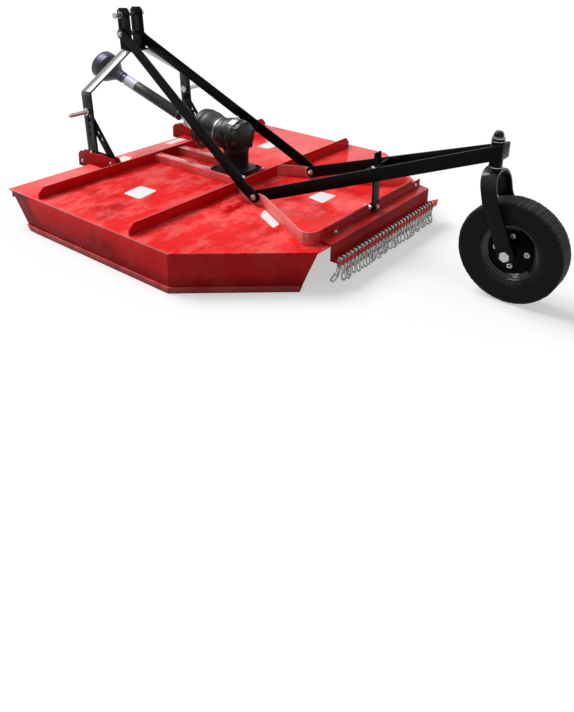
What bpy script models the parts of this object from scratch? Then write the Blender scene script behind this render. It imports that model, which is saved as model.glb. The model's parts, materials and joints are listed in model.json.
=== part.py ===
# Slasher mower: a rotary cutter on a three point hitch, 1.6 m wide.
# The model stands as it parks, on its side skirts and its tail wheel.
# +Y is forward (towards the tractor), +X is the machine's right, +Z is up, in metres.
# Y is written in stations counted from the deck's front edge; the origin empty
# shifts them so that the row's origin lies under the middle of the whole machine.

import math

import bmesh
import bpy
from mathutils import Matrix, Vector

# Driving dimensions, metres and degrees

GAP = 0.0003                    # clearance between pieces that touch
SHEET = 0.005                   # deck and skirt plate

DECK_WIDTH = 1.627
DECK_TOP = 0.167                # height of the deck's top face
DECK_SIDE_LENGTH = 1.069        # straight side, from the front edge
DECK_LENGTH = 1.507
DECK_REAR_WIDTH = 0.868         # width left between the two rear chamfers
FRONT_FLANGE_DEPTH = 0.045      # turned down front edge of the deck sheet
SHAFT_HOLE_RADIUS = 0.045

SKIRT_NOSE_SETBACK = 0.154      # how far the skirt's front end slopes back to the ground
SKIRT_NOSE_LENGTH = 0.20        # part of the skirt bent in behind the front end
SKIRT_NOSE_INSET = 0.010
SKIRT_TAIL_SETBACK = 0.070      # slope of the chamfer panel's rear end
RUNNER_HEIGHT = 0.026           # skid strip welded along the skirt's foot
RUNNER_THICKNESS = 0.007

RIB_HEIGHT = 0.051
RIB_SHEET = 0.005
RIB_FOOT = 0.040
RIB_INSET = 0.0135              # from the deck's side to each end of the ribs
RIB_CORNER = 0.030
FRONT_RIB_Y = -0.218
REAR_RIB_Y = -0.833

RAIL_OUTER_X = 0.105            # gearbox rails, front rib to rear rib
RAIL_WIDTH = 0.045
RAIL_HEIGHT = 0.040

FENCE_HEIGHT = 0.056            # upright bar round the rear of the deck
FENCE_SHEET = 0.006
FENCE_ROOT_X = 0.150            # where its legs meet the rear rib
FENCE_FOOT_X = 0.216            # straight stretch that holds the tail arm and the stay
FENCE_FOOT_HALF = 0.048
FENCE_CORNER_X = 0.450
FENCE_REAR_Y = 0.044 - DECK_LENGTH
FENCE_BEND_RADIUS = 0.045

FOOT_BOLT_Y = -1.003
FOOT_BOLT_Z = 0.205
BOLT_RADIUS = 0.008

STAY_WIDTH = 0.055              # flat bars from the mast down to the fence
STAY_THICKNESS = 0.010
ARM_WIDTH = 0.055               # flat bars from the fence back to the caster hub
ARM_THICKNESS = 0.010
STAY_TAB = 0.070                # straight tab at each bolted end
BAR_TAB = 0.045

HITCH_FOOT_Y = -0.022           # the arch leans forward about its feet
HITCH_FOOT_Z = 0.238
HITCH_LEAN = 4.5
ARCH_HALF_WIDTH = 0.344         # outer face of each upright
ARCH_SHOULDER = 0.309           # height of the shoulders over the feet
ARCH_TOP = 0.480
ARCH_TOP_HALF = 0.066
ARCH_STRAP = 0.070
ARCH_THICKNESS = 0.010
ARCH_BEND_RADIUS = 0.016
ARCH_FOOT_DROP = 0.030          # strap left below the foot bolt
SLOT_WIDTH = 0.012
SLOT_LENGTH = 0.026
UPRIGHT_SLOTS = (0.093, 0.131, 0.169)

MAST_X = 0.038                  # inner face of each mast plate
MAST_THICKNESS = 0.012
MAST_REAR = -0.030              # edges of the plates, from the arch's middle line
MAST_FRONT = 0.055
MAST_CORNER = 0.016
MAST_HEIGHT = 0.216
TOP_PIN_V = 0.020               # top link pin, forward of the arch's middle line
TOP_PIN_RISE = 0.180            # and over the mast's foot
STAY_BOLT_V = 0.032
STAY_BOLT_RISE = 0.082
TOP_PIN_RADIUS = 0.0095
TOP_PIN_HALF_LENGTH = 0.098
SPACER_RADIUS = 0.013

HITCH_PIN_Z = 0.446             # lower link pins
HITCH_PIN_RADIUS = 0.011
HITCH_PIN_END = 0.455
HITCH_PIN_COLLAR = 0.019
HITCH_PIN_COLLAR_LENGTH = 0.012

BRACE_WIDTH = 0.046
BRACE_THICKNESS = 0.008
BRACE_TOP = (-0.016, 0.400)     # y and z of its upper bolt
BRACE_FOOT = (-0.172, 0.210)
BRACE_SLOTS = (0.30, 0.46)      # along the brace, as shares of its length

LUG_SHEET = 0.006
LUG_HEIGHT = 0.070
LUG_FRONT = 0.092
LUG_FRONT_DROP = 0.024          # the ears reach below the deck's top in front of it
LUG_BASE_OUT = 0.045

GEARBOX_Y = -0.695
BASE_PLATE = 0.180
BASE_PLATE_THICKNESS = 0.010
COLUMN_RADIUS = 0.061
HOUSING_RADIUS = 0.083
HOUSING_TOP = 0.466
INPUT_HEIGHT = 0.378            # height of the input shaft
HOUSING_REAR = -0.750
HOUSING_FRONT = -0.632
INPUT_SHAFT_RADIUS = 0.0175

SHIELD_FRONT = -0.485
SHIELD_MOUTH_RADIUS = 0.098
SHIELD_BODY_RADIUS = 0.093
SHIELD_NECK_RADIUS = 0.074
SHIELD_NECK_LENGTH = 0.032
SHIELD_TAPER = 0.062            # length over which the neck widens to the body
SHIELD_WALL = 0.004
SHIELD_BORE = 0.030

UJOINT_Y = -0.425               # centre of the rear universal joint
UJOINT_PIN_RADIUS = 0.0075
UJOINT_HALF = 0.036             # joint centre to a yoke ear's outer face
UJOINT_BLOCK = 0.011
YOKE_EAR = 0.009
YOKE_EAR_RADIUS = 0.016
YOKE_BASE = 0.046               # joint centre to the yoke's base
YOKE_BASE_LENGTH = 0.012
DRIVE_RISE = 17.0               # the driveline's slope as it is parked
TUBE_RADIUS = 0.029
TUBE_WALL = 0.003
TUBE_CLEARANCE = 0.0005
REAR_TUBE_START = 0.115         # distances along the driveline from the rear joint
REAR_TUBE_END = 0.540
FRONT_TUBE_START = 0.330
BELL_NECK = 0.600
BELL_FLARE = 0.664
BELL_END = 0.750
BELL_RADIUS = 0.078
BELL_WALL = 0.004
DRIVE_SHAFT_RADIUS = 0.0125
FRONT_JOINT = 0.710             # centre of the front universal joint
PTO_YOKE_END = 0.795
PTO_YOKE_RADIUS = 0.030
PTO_BORE_RADIUS = 0.0175

SPINDLE_Y = -2.000
HUB_RADIUS = 0.025
HUB_BORE = 0.0153
HUB_BOTTOM = 0.519
HUB_TOP = 0.616
ARM_HUB_Z = 0.574
END_PLATE_THICKNESS = 0.010
SPINDLE_RADIUS = 0.015
SPINDLE_TOP = 0.655
COLLAR_RADIUS = 0.024
COLLAR_HEIGHT = 0.012

FORK_TOP = 0.512
FORK_HALF_WIDTH = 0.078         # outer face of each leg
FORK_WIDTH = 0.062
FORK_THICKNESS = 0.010
FORK_CORNER = 0.062
FORK_KNEE_Z = 0.400             # where the legs turn back towards the axle
FORK_KNEE_BACK = 0.022
AXLE_Y = -2.105
AXLE_BOLT_RADIUS = 0.0095
AXLE_HEAD_RADIUS = 0.021
AXLE_HEAD_LENGTH = 0.012

WHEEL_RADIUS = 0.205
TYRE_WIDTH = 0.108
TYRE_SHOULDER = 0.016
RIM_RADIUS = 0.115
RIM_HALF_WIDTH = 0.041
RIM_SHEET = 0.005
RIM_DISH = 0.010                # how far the disc sits left of the wheel's middle
WHEEL_HUB_RADIUS = 0.030
WHEEL_HUB_CLEARANCE = 0.0008

CROSSBAR_HEIGHT = 0.044
CROSSBAR_THICKNESS = 0.008      # bar between the tail arms, held by the post
POST_LEFT = 0.010
POST_WIDTH = 0.050
POST_THICKNESS = 0.008
POST_TOP = 0.452
POST_BOTTOM = 0.186

GUARD_LEFT = -0.360
GUARD_RIGHT = 0.455
GUARD_SHEET = 0.004
GUARD_TOP = 0.212
GUARD_FLANGE_FOOT = 0.178       # where the bolted flange leaves the fence
GUARD_FOLD = 0.171
GUARD_SHELF = 0.107             # top face of the shelf
GUARD_WEB_Y = -0.009 - DECK_LENGTH  # outer face of the web
GUARD_LIP_Y = GUARD_WEB_Y - 0.052
GUARD_TIP = 0.065               # pointed right end of the shelf
GUARD_SLOT_WIDTH = 0.0095
GUARD_SLOT_LENGTH = 0.030
ROD_RADIUS = 0.004
CHAIN_COUNT = 30
CHAIN_FIRST_X = -0.338
CHAIN_PITCH = 0.0268
LINK_WIRE = 0.0033              # radius of the chain's wire
LINK_WIDTH = 0.0215
LINK_PITCH = 0.0335
LINK_SHOULDER = 0.009
LINK_FLAT_END = 0.011
LINK_SEAT = 0.0008              # how deep neighbouring links are fused
LINKS_PER_CHAIN = 3
ROD_Y = GUARD_WEB_Y - 0.027

BLADE_BAR_HALF = 0.375          # rotor axis to each blade bolt
BLADE_BAR_WIDTH = 0.090
BLADE_BAR_THICKNESS = 0.014
BLADE_BAR_Z = 0.078             # underside of the carrier bar
ROTOR_BOSS_RADIUS = 0.042
ROTOR_SHAFT_RADIUS = 0.020
BLADE_REACH = 0.310             # blade bolt to blade tip
BLADE_WIDTH = 0.075
BLADE_THICKNESS = 0.010
BLADE_BOLT_RADIUS = 0.012
BLADE_BOLT_HEAD = 0.020
BLADE_BOLT_CLEARANCE = 0.0004

ROUND_STEPS = 32                # facets of large round pieces
PIN_STEPS = 16                  # facets of pins and holes

# Colours (linear), roughness and metallic value of each finish

FINISHES = {
    "red_paint": ((0.62, 0.012, 0.012), 0.22, 0.0),
    "black_paint": ((0.012, 0.012, 0.013), 0.38, 0.0),
    "cast_black": ((0.014, 0.014, 0.015), 0.5, 0.0),
    "zinc": ((0.62, 0.61, 0.58), 0.3, 1.0),
    "black_plastic": ((0.016, 0.017, 0.02), 0.42, 0.0),
    "tyre_rubber": ((0.014, 0.014, 0.014), 0.8, 0.0),
    "blade_steel": ((0.10, 0.095, 0.09), 0.45, 1.0),
}


def clear_scene():
    for item in list(bpy.data.objects):
        bpy.data.objects.remove(item, do_unlink=True)


def finish(name):
    """The Principled material of one named finish."""
    found = bpy.data.materials.get(name)
    if found:
        return found
    colour, roughness, metallic = FINISHES[name]
    made = bpy.data.materials.new(name)
    made.use_nodes = True
    shader = made.node_tree.nodes["Principled BSDF"]
    shader.inputs["Base Color"].default_value = (*colour, 1.0)
    shader.inputs["Roughness"].default_value = roughness
    shader.inputs["Metallic"].default_value = metallic
    made.diffuse_color = (*colour, 1.0)
    return made


def empty(name, location=(0, 0, 0), rotation=(0, 0, 0), parent=None):
    guide = bpy.data.objects.new(name, None)
    bpy.context.scene.collection.objects.link(guide)
    guide.location = location
    guide.rotation_euler = [math.radians(a) for a in rotation]
    guide.parent = parent
    return guide


def solid(name, shape, finish_name, parent, smooth=False):
    """A finished piece made from a bmesh, with its faces turned outwards."""
    bmesh.ops.recalc_face_normals(shape, faces=shape.faces)
    mesh = bpy.data.meshes.new(name)
    shape.to_mesh(mesh)
    shape.free()
    piece = bpy.data.objects.new(name, mesh)
    bpy.context.scene.collection.objects.link(piece)
    mesh.materials.append(finish(finish_name))
    if smooth:
        mesh.shade_smooth()
        mesh.set_sharp_from_angle(angle=math.radians(35))
    piece.parent = parent
    return piece


def boolean(piece, tools, operation):
    """The piece after a Boolean with each tool; the tools are used up."""
    for tool in tools:
        step = piece.modifiers.new(operation.lower(), "BOOLEAN")
        step.operation = operation
        step.object = tool
        step.solver = "EXACT"
    bpy.context.view_layer.update()
    seen = piece.evaluated_get(bpy.context.evaluated_depsgraph_get())
    result = bpy.data.meshes.new_from_object(seen)
    piece.modifiers.clear()
    piece.data = result
    for tool in tools:
        bpy.data.objects.remove(tool, do_unlink=True)
    return piece


def joined(piece, *tools):
    return boolean(piece, tools, "UNION")


def cut(piece, *tools):
    return boolean(piece, tools, "DIFFERENCE")


def skin(sections, ring=False):
    """A closed shape through sections with the same number of corners each."""
    shape = bmesh.new()
    loops = [[shape.verts.new(p) for p in section] for section in sections]
    count = len(loops[0])
    pairs = list(zip(loops, loops[1:]))
    if ring:
        pairs.append((loops[-1], loops[0]))
    for first, second in pairs:
        for i in range(count):
            j = (i + 1) % count
            shape.faces.new((first[i], first[j], second[j], second[i]))
    if not ring:
        shape.faces.new(list(reversed(loops[0])))
        shape.faces.new(loops[-1])
    return shape


def extruded(outline, axis, low, high):
    """A flat outline drawn across one axis (its other two in X, Y, Z order), made solid along it."""
    order = "XYZ".index(axis)
    shape = bmesh.new()

    def point(a, b, c):
        spot = [a, b]
        spot.insert(order, c)
        return spot

    base = shape.faces.new([shape.verts.new(point(a, b, low)) for a, b in outline])
    grown = bmesh.ops.extrude_face_region(shape, geom=[base])
    moved = [v for v in grown["geom"] if isinstance(v, bmesh.types.BMVert)]
    shift = [0.0, 0.0, 0.0]
    shift[order] = high - low
    bmesh.ops.translate(shape, verts=moved, vec=shift)
    return shape


def block(low, high):
    return extruded([(low[0], low[1]), (high[0], low[1]), (high[0], high[1]), (low[0], high[1])],
                    "Z", low[2], high[2])


def turned(profile, steps, centre=(0, 0, 0), axis="Z"):
    """A profile of (radius, height) spun round an axis; a closed profile off the axis makes a ring."""
    shape = bmesh.new()
    on_axis = [p for p in profile if p[0] == 0.0]
    corners = [shape.verts.new((r, 0, h)) for r, h in profile]
    edges = [shape.edges.new(pair) for pair in zip(corners, corners[1:])]
    if not on_axis:
        edges.append(shape.edges.new((corners[-1], corners[0])))
    bmesh.ops.spin(shape, geom=corners + edges, cent=(0, 0, 0), axis=(0, 0, 1),
                   angle=math.tau, steps=steps, use_merge=False)
    bmesh.ops.remove_doubles(shape, verts=shape.verts, dist=1e-6)
    turn = {"Z": Matrix(), "Y": Matrix.Rotation(math.radians(-90), 4, "X"),
            "X": Matrix.Rotation(math.radians(90), 4, "Y")}[axis]
    bmesh.ops.transform(shape, matrix=Matrix.Translation(centre) @ turn, verts=shape.verts)
    return shape


def rod(radius, low, high, centre=(0, 0, 0), axis="Z", steps=PIN_STEPS):
    """A round bar from low to high along its axis, through a centre."""
    return turned([(0.0, low), (radius, low), (radius, high), (0.0, high)], steps, centre, axis)


def tube(radius, bore, low, high, centre=(0, 0, 0), axis="Z", steps=ROUND_STEPS):
    return turned([(radius, low), (radius, high), (bore, high), (bore, low)], steps, centre, axis)


def rounded(points, radius, steps=4):
    """An open line of points with each inner corner rounded by an arc."""
    out = [Vector(points[0])]
    for before, corner, after in zip(points, points[1:], points[2:]):
        before, corner, after = Vector(before), Vector(corner), Vector(after)
        back = (before - corner).normalized()
        ahead = (after - corner).normalized()
        half = back.angle(ahead) / 2
        reach = radius / math.tan(half)
        middle = corner + (back + ahead).normalized() * (radius / math.sin(half))
        start = corner + back * reach - middle
        end = corner + ahead * reach - middle
        for i in range(steps + 1):
            out.append(middle + start.slerp(end, i / steps) * radius)
    out.append(Vector(points[-1]))
    return out


def band(line, thickness):
    """The closed outline of a bent sheet: a 2D line and the same line offset to its left."""
    line = [Vector(p) for p in line]
    inner = []
    for i, here in enumerate(line):
        ahead = (line[min(i + 1, len(line) - 1)] - here).normalized() if i < len(line) - 1 else None
        behind = (here - line[i - 1]).normalized() if i else None
        first = behind or ahead
        second = ahead or behind
        normal_a = Vector((-first.y, first.x))
        normal_b = Vector((-second.y, second.x))
        mitre = (normal_a + normal_b).normalized()
        inner.append(here + mitre * (thickness / mitre.dot(normal_a)))
    return [tuple(p) for p in line + inner[::-1]]


def trimmed(shape, point, normal):
    """The shape cut off on the side of a plane that its normal points to, and closed again."""
    geometry = shape.verts[:] + shape.edges[:] + shape.faces[:]
    cut_off = bmesh.ops.bisect_plane(shape, geom=geometry, plane_co=point, plane_no=normal,
                                     clear_outer=True, dist=1e-7)
    rim = [e for e in cut_off["geom_cut"] if isinstance(e, bmesh.types.BMEdge)]
    bmesh.ops.edgenet_fill(shape, edges=rim)
    return shape


def flat_bar(start, end, width, thickness, tab, end_steps=5):
    """A flat bar between two bolts, with round ends and its ends bent parallel to the YZ plane.
    Its length runs in the YZ direction from start to end, and X slides over between the tabs."""
    start, end = Vector(start), Vector(end)
    along = Vector((0, end.y - start.y, end.z - start.z))
    length = along.length
    along.normalize()
    across = Vector((0, -along.z, along.y))
    half = width / 2
    arc = [math.radians(12 + 78 * i / end_steps) for i in range(end_steps + 1)]
    stations = [(-half * math.cos(a), half * math.sin(a)) for a in arc]
    stations += [(tab, half), (length - tab, half)]
    stations += [(length + half * math.cos(a), half * math.sin(a)) for a in reversed(arc)]
    sections = []
    for reach, side in stations:
        share = min(max((reach - tab) / (length - 2 * tab), 0.0), 1.0)
        x = start.x + (end.x - start.x) * share
        middle = Vector((x, start.y, start.z)) + along * reach
        out = Vector((thickness / 2, 0, 0))
        sections.append([middle - across * side - out, middle + across * side - out,
                         middle + across * side + out, middle - across * side + out])
    return skin(sections)


def slot_cutter(name, centre, direction, length, width, depth, parent):
    """A stadium prism across X, to cut a slot whose long side runs along a YZ direction."""
    along = Vector((direction[0], direction[1])).normalized()
    side = Vector((-along.y, along.x))
    middle = Vector(centre)
    reach = (length - width) / 2
    outline = []
    for sign in (1, -1):
        for i in range(5):
            angle = math.pi * i / 4
            spot = middle + along * sign * reach
            spot += (along * math.sin(angle) + side * math.cos(angle)) * sign * width / 2
            outline.append(tuple(spot))
    tool = solid(name, extruded(outline, "X", -depth, depth), "zinc", parent)
    return tool


def hole_cutter(radius, centre, axis, depth, parent, steps=PIN_STEPS):
    return solid("hole", rod(radius, -depth, depth, centre, axis, steps), "zinc", parent)


def mirror_x(shape):
    bmesh.ops.scale(shape, vec=(-1, 1, 1), verts=shape.verts)
    bmesh.ops.reverse_faces(shape, faces=shape.faces)
    return shape


SIDES = (("left", -1), ("right", 1))


def sided(side, shape):
    """A shape modelled on the right, or its mirror image for the left."""
    return mirror_x(shape) if side < 0 else shape


# Deck sheet, skirts and runners

def deck_outline():
    half = DECK_WIDTH / 2
    rear = DECK_REAR_WIDTH / 2
    return [(-half, 0), (-half, -DECK_SIDE_LENGTH), (-rear, -DECK_LENGTH),
            (rear, -DECK_LENGTH), (half, -DECK_SIDE_LENGTH), (half, 0)]


def build_deck(frame):
    top = solid("deck_plate", extruded(deck_outline(), "Z", DECK_TOP - SHEET, DECK_TOP),
                "red_paint", frame)
    reach = DECK_WIDTH / 2 - SKIRT_NOSE_INSET - SHEET - GAP
    flange = solid("flange", block((-reach, -SHEET, DECK_TOP - FRONT_FLANGE_DEPTH),
                                   (reach, 0, DECK_TOP - SHEET / 2)), "red_paint", frame)
    joined(top, flange)
    cut(top, hole_cutter(SHAFT_HOLE_RADIUS, (0, GEARBOX_Y, DECK_TOP), "Z", 0.02, frame, ROUND_STEPS))


def skirt_line():
    """The right skirt's outer face in plan, from the nose to the chamfer's rear end."""
    half = DECK_WIDTH / 2
    rear = DECK_REAR_WIDTH / 2
    return [(half - SKIRT_NOSE_INSET, 0), (half, -SKIRT_NOSE_LENGTH),
            (half, -DECK_SIDE_LENGTH), (rear, -DECK_LENGTH)]


def skirt_ends(shape):
    """Trims a skirt or a runner to the sloping nose and tail of the side panel."""
    drop = DECK_TOP
    trimmed(shape, (0, 0, drop), Vector((0, drop, -SKIRT_NOSE_SETBACK)).normalized())
    chamfer = Vector((DECK_REAR_WIDTH / 2 - DECK_WIDTH / 2, DECK_SIDE_LENGTH - DECK_LENGTH, 0))
    back = chamfer.normalized()
    normal = Vector((back.x * drop, back.y * drop, -SKIRT_TAIL_SETBACK)).normalized()
    trimmed(shape, (DECK_REAR_WIDTH / 2, -DECK_LENGTH, DECK_TOP), normal)
    return shape


def build_skirts(frame):
    line = skirt_line()
    for word, side in SIDES:
        panel = extruded(band(line, -SHEET), "Z", 0.0, DECK_TOP - SHEET - GAP)
        solid(f"side_skirt_{word}", sided(side, skirt_ends(panel)), "red_paint", frame)
        outer = [Vector(p) for p in line]
        clear = band(outer, GAP)[len(outer):][::-1]
        runner = extruded(band(clear, RUNNER_THICKNESS), "Z", 0.0, RUNNER_HEIGHT)
        solid(f"runner_{word}", sided(side, skirt_ends(runner)), "red_paint", frame)


# Stiffening ribs, gearbox rails and the rear fence

def lug_span():
    """X of a lug's inner and outer side."""
    return brace_inner() - GAP - LUG_SHEET - LUG_BASE_OUT, ARCH_HALF_WIDTH + GAP + LUG_SHEET


def build_ribs(frame):
    """Angle iron across the deck: an upright leg with clipped corners and a foot in front of it,
    which is cut away where the lugs stand."""
    half = DECK_WIDTH / 2 - RIB_INSET
    foot_end = half - RIB_CORNER
    low = DECK_TOP + GAP
    high = DECK_TOP + RIB_HEIGHT
    lug_inner, lug_outer = lug_span()
    past_lug = lug_outer + GAP
    feet = {"front": ((-foot_end, -past_lug), (GAP - lug_inner, lug_inner - GAP), (past_lug, foot_end)),
            "rear": ((-foot_end, foot_end),)}
    for word, y in (("front", FRONT_RIB_Y), ("rear", REAR_RIB_Y)):
        face = [(-half, low), (half, low), (half, high - RIB_CORNER), (half - RIB_CORNER, high),
                (RIB_CORNER - half, high), (-half, high - RIB_CORNER)]
        upright = solid(f"{word}_rib", extruded(face, "Y", y - RIB_SHEET / 2, y + RIB_SHEET / 2),
                        "red_paint", frame)
        joined(upright, *[solid("foot", block((left, y, low), (right, y + RIB_FOOT, low + RIB_SHEET)),
                                "red_paint", frame) for left, right in feet[word]])


def rail_front():
    return FRONT_RIB_Y - RIB_SHEET / 2 - GAP


def rail_rear():
    return REAR_RIB_Y + RIB_FOOT + GAP


def build_rails(frame):
    """Folded channels, open below, that carry the gearbox between the two ribs."""
    low = DECK_TOP + GAP
    high = DECK_TOP + RAIL_HEIGHT
    for word, side in SIDES:
        outer = RAIL_OUTER_X
        inner = RAIL_OUTER_X - RAIL_WIDTH
        line = [(outer, low), (outer, high), (inner, high), (inner, low)]
        shape = extruded(band(line, SHEET), "Y", rail_rear(), rail_front())
        solid(f"gearbox_rail_{word}", sided(side, shape), "red_paint", frame)


def build_fence(frame):
    """One flat bar on edge, bent round the rear of the deck from rib to rib."""
    root = (FENCE_ROOT_X, REAR_RIB_Y - RIB_SHEET / 2 - GAP)
    outer = FENCE_FOOT_X + FENCE_SHEET / 2
    right = [root, (outer, FOOT_BOLT_Y + FENCE_FOOT_HALF), (outer, FOOT_BOLT_Y - FENCE_FOOT_HALF),
             (FENCE_CORNER_X, FENCE_REAR_Y)]
    line = right + [(-x, y) for x, y in reversed(right)]
    soft = [line[0]] + rounded(line, FENCE_BEND_RADIUS)[1:]
    outline = band(soft, -FENCE_SHEET)
    solid("rear_fence", extruded(outline, "Z", DECK_TOP + GAP, DECK_TOP + FENCE_HEIGHT),
          "red_paint", frame)


# Hitch: lugs, arch, braces, pins and mast

def brace_inner():
    return ARCH_HALF_WIDTH - ARCH_THICKNESS - GAP - BRACE_THICKNESS


def build_lugs(frame):
    """Narrow channels on the deck that hold the arch's upright and the brace between two ears."""
    low = DECK_TOP + GAP
    high = DECK_TOP + LUG_HEIGHT
    chamfer = 0.018
    rear = FRONT_RIB_Y + RIB_SHEET / 2 + GAP
    ear = [(LUG_FRONT, DECK_TOP - LUG_FRONT_DROP), (LUG_FRONT, high - 0.030),
           (LUG_FRONT - chamfer, high - 0.012), (0.0, high), (rear + chamfer, high),
           (rear, high - chamfer), (rear, low), (GAP, low), (GAP, DECK_TOP - LUG_FRONT_DROP)]
    near, far = lug_span()
    outer = ARCH_HALF_WIDTH + GAP
    inner = brace_inner() - GAP
    for word, side in SIDES:
        body = solid(f"deck_lug_{word}", extruded(ear, "X", outer, outer + LUG_SHEET),
                     "red_paint", frame)
        second = solid("ear", extruded(ear, "X", inner - LUG_SHEET, inner), "red_paint", frame)
        base = solid("base", block((near, rear, low), (far, -0.004, low + LUG_SHEET)),
                     "red_paint", frame)
        joined(body, second, base)
        if side < 0:
            body.data.transform(Matrix.Scale(-1, 4, (1, 0, 0)))
            body.data.flip_normals()


def hitch_point(v, w):
    """World station (y, z) of a point of the leaning hitch frame: v forward, w up the arch."""
    lean = math.radians(HITCH_LEAN)
    return (HITCH_FOOT_Y + v * math.cos(lean) + w * math.sin(lean),
            HITCH_FOOT_Z - v * math.sin(lean) + w * math.cos(lean))


def build_arch(hitch):
    half = ARCH_HALF_WIDTH
    line = [(half, -ARCH_FOOT_DROP), (half, ARCH_SHOULDER), (ARCH_TOP_HALF, ARCH_TOP),
            (-ARCH_TOP_HALF, ARCH_TOP), (-half, ARCH_SHOULDER), (-half, -ARCH_FOOT_DROP)]
    soft = rounded(line, ARCH_BEND_RADIUS)
    shape = extruded(band(soft, ARCH_THICKNESS), "Y", -ARCH_STRAP / 2, ARCH_STRAP / 2)
    arch = solid("hitch_arch", shape, "black_paint", hitch)
    tools = [slot_cutter("slot", (0, w), (0, 1), SLOT_LENGTH, SLOT_WIDTH, half + 0.01, hitch)
             for w in UPRIGHT_SLOTS]
    pin_w = (HITCH_PIN_Z - HITCH_FOOT_Z) / math.cos(math.radians(HITCH_LEAN))
    tools.append(hole_cutter(HITCH_PIN_RADIUS + GAP, (0, 0, pin_w), "X", half + 0.01, hitch))
    cut(arch, *tools)
    return pin_w


def build_hitch_pins(hitch, pin_w):
    """Lower link pins: a collar outside the upright, a shank through it and a head inside."""
    head_length = 0.012
    for word, side in SIDES:
        outer = ARCH_HALF_WIDTH + GAP
        inner = ARCH_HALF_WIDTH - ARCH_THICKNESS - GAP
        profile = [(0.0, inner - head_length), (HITCH_PIN_COLLAR, inner - head_length),
                   (HITCH_PIN_COLLAR, inner), (HITCH_PIN_RADIUS, inner),
                   (HITCH_PIN_RADIUS, outer), (HITCH_PIN_COLLAR, outer),
                   (HITCH_PIN_COLLAR, outer + HITCH_PIN_COLLAR_LENGTH),
                   (HITCH_PIN_RADIUS, outer + HITCH_PIN_COLLAR_LENGTH),
                   (HITCH_PIN_RADIUS, HITCH_PIN_END - 0.003),
                   (HITCH_PIN_RADIUS - 0.003, HITCH_PIN_END), (0.0, HITCH_PIN_END)]
        shape = turned(profile, PIN_STEPS, (0, 0, pin_w), "X")
        solid(f"lower_hitch_pin_{word}", sided(side, shape), "zinc", hitch, smooth=True)


def build_mast(hitch):
    """Two upright plates on the arch's crown, with the top link pin and the stays' bolt."""
    foot = ARCH_TOP + GAP
    top = foot + MAST_HEIGHT
    corner = MAST_CORNER
    face = [(MAST_REAR, foot), (MAST_FRONT, foot), (MAST_FRONT, top - corner), (MAST_FRONT - corner, top),
            (MAST_REAR + corner, top), (MAST_REAR, top - corner)]
    stay_w = foot + STAY_BOLT_RISE
    pin_w = foot + TOP_PIN_RISE
    for word, side in SIDES:
        shape = extruded(face, "X", MAST_X, MAST_X + MAST_THICKNESS)
        plate = solid(f"mast_plate_{word}", sided(side, shape), "black_paint", hitch)
        depth = MAST_X + MAST_THICKNESS + 0.01
        cut(plate, hole_cutter(TOP_PIN_RADIUS + GAP, (0, TOP_PIN_V, pin_w), "X", depth, hitch),
            hole_cutter(BOLT_RADIUS + GAP, (0, STAY_BOLT_V, stay_w), "X", depth, hitch))
    reach = TOP_PIN_HALF_LENGTH
    shape = turned([(0.0, -reach), (TOP_PIN_RADIUS + 0.006, -reach),
                    (TOP_PIN_RADIUS + 0.006, 0.008 - reach), (TOP_PIN_RADIUS, 0.008 - reach),
                    (TOP_PIN_RADIUS, reach - 0.002), (TOP_PIN_RADIUS - 0.002, reach),
                    (0.0, reach)], PIN_STEPS, (0, TOP_PIN_V, pin_w), "X")
    solid("top_link_pin", shape, "zinc", hitch, smooth=True)
    plate_face = MAST_X - GAP
    spacer = turned([(SPACER_RADIUS, -plate_face), (SPACER_RADIUS, plate_face),
                     (BOLT_RADIUS, plate_face), (BOLT_RADIUS, -plate_face)],
                    PIN_STEPS, (0, STAY_BOLT_V, stay_w), "X")
    solid("mast_spacer", spacer, "black_paint", hitch, smooth=True)
    return stay_w


def build_stays(frame, stay_w):
    """Flat bars bolted outside the mast plates and the fence's legs."""
    top_y, top_z = hitch_point(STAY_BOLT_V, stay_w)
    top_x = MAST_X + MAST_THICKNESS + GAP + STAY_THICKNESS / 2
    foot_x = FENCE_FOOT_X + FENCE_SHEET / 2 + GAP + STAY_THICKNESS / 2
    for word, side in SIDES:
        shape = flat_bar((top_x, top_y, top_z), (foot_x, FOOT_BOLT_Y, FOOT_BOLT_Z),
                         STAY_WIDTH, STAY_THICKNESS, STAY_TAB)
        solid(f"mast_stay_{word}", sided(side, shape), "black_paint", frame)


def build_braces(frame):
    """Slotted flats from the uprights down to the rear of the lugs."""
    x = brace_inner() + BRACE_THICKNESS / 2
    for word, side in SIDES:
        shape = flat_bar((x, *BRACE_TOP), (x, *BRACE_FOOT), BRACE_WIDTH, BRACE_THICKNESS, 0.04)
        bar = solid(f"hitch_brace_{word}", sided(side, shape), "black_paint", frame)
        way = (BRACE_FOOT[0] - BRACE_TOP[0], BRACE_FOOT[1] - BRACE_TOP[1])
        tools = []
        for share in BRACE_SLOTS:
            spot = (BRACE_TOP[0] + way[0] * share, BRACE_TOP[1] + way[1] * share)
            tools.append(slot_cutter("slot", spot, way, SLOT_LENGTH, SLOT_WIDTH,
                                     ARCH_HALF_WIDTH + 0.01, frame))
        cut(bar, *tools)


# Gearbox, input shield and driveline

def base_top():
    return DECK_TOP + RAIL_HEIGHT + GAP + BASE_PLATE_THICKNESS


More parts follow.
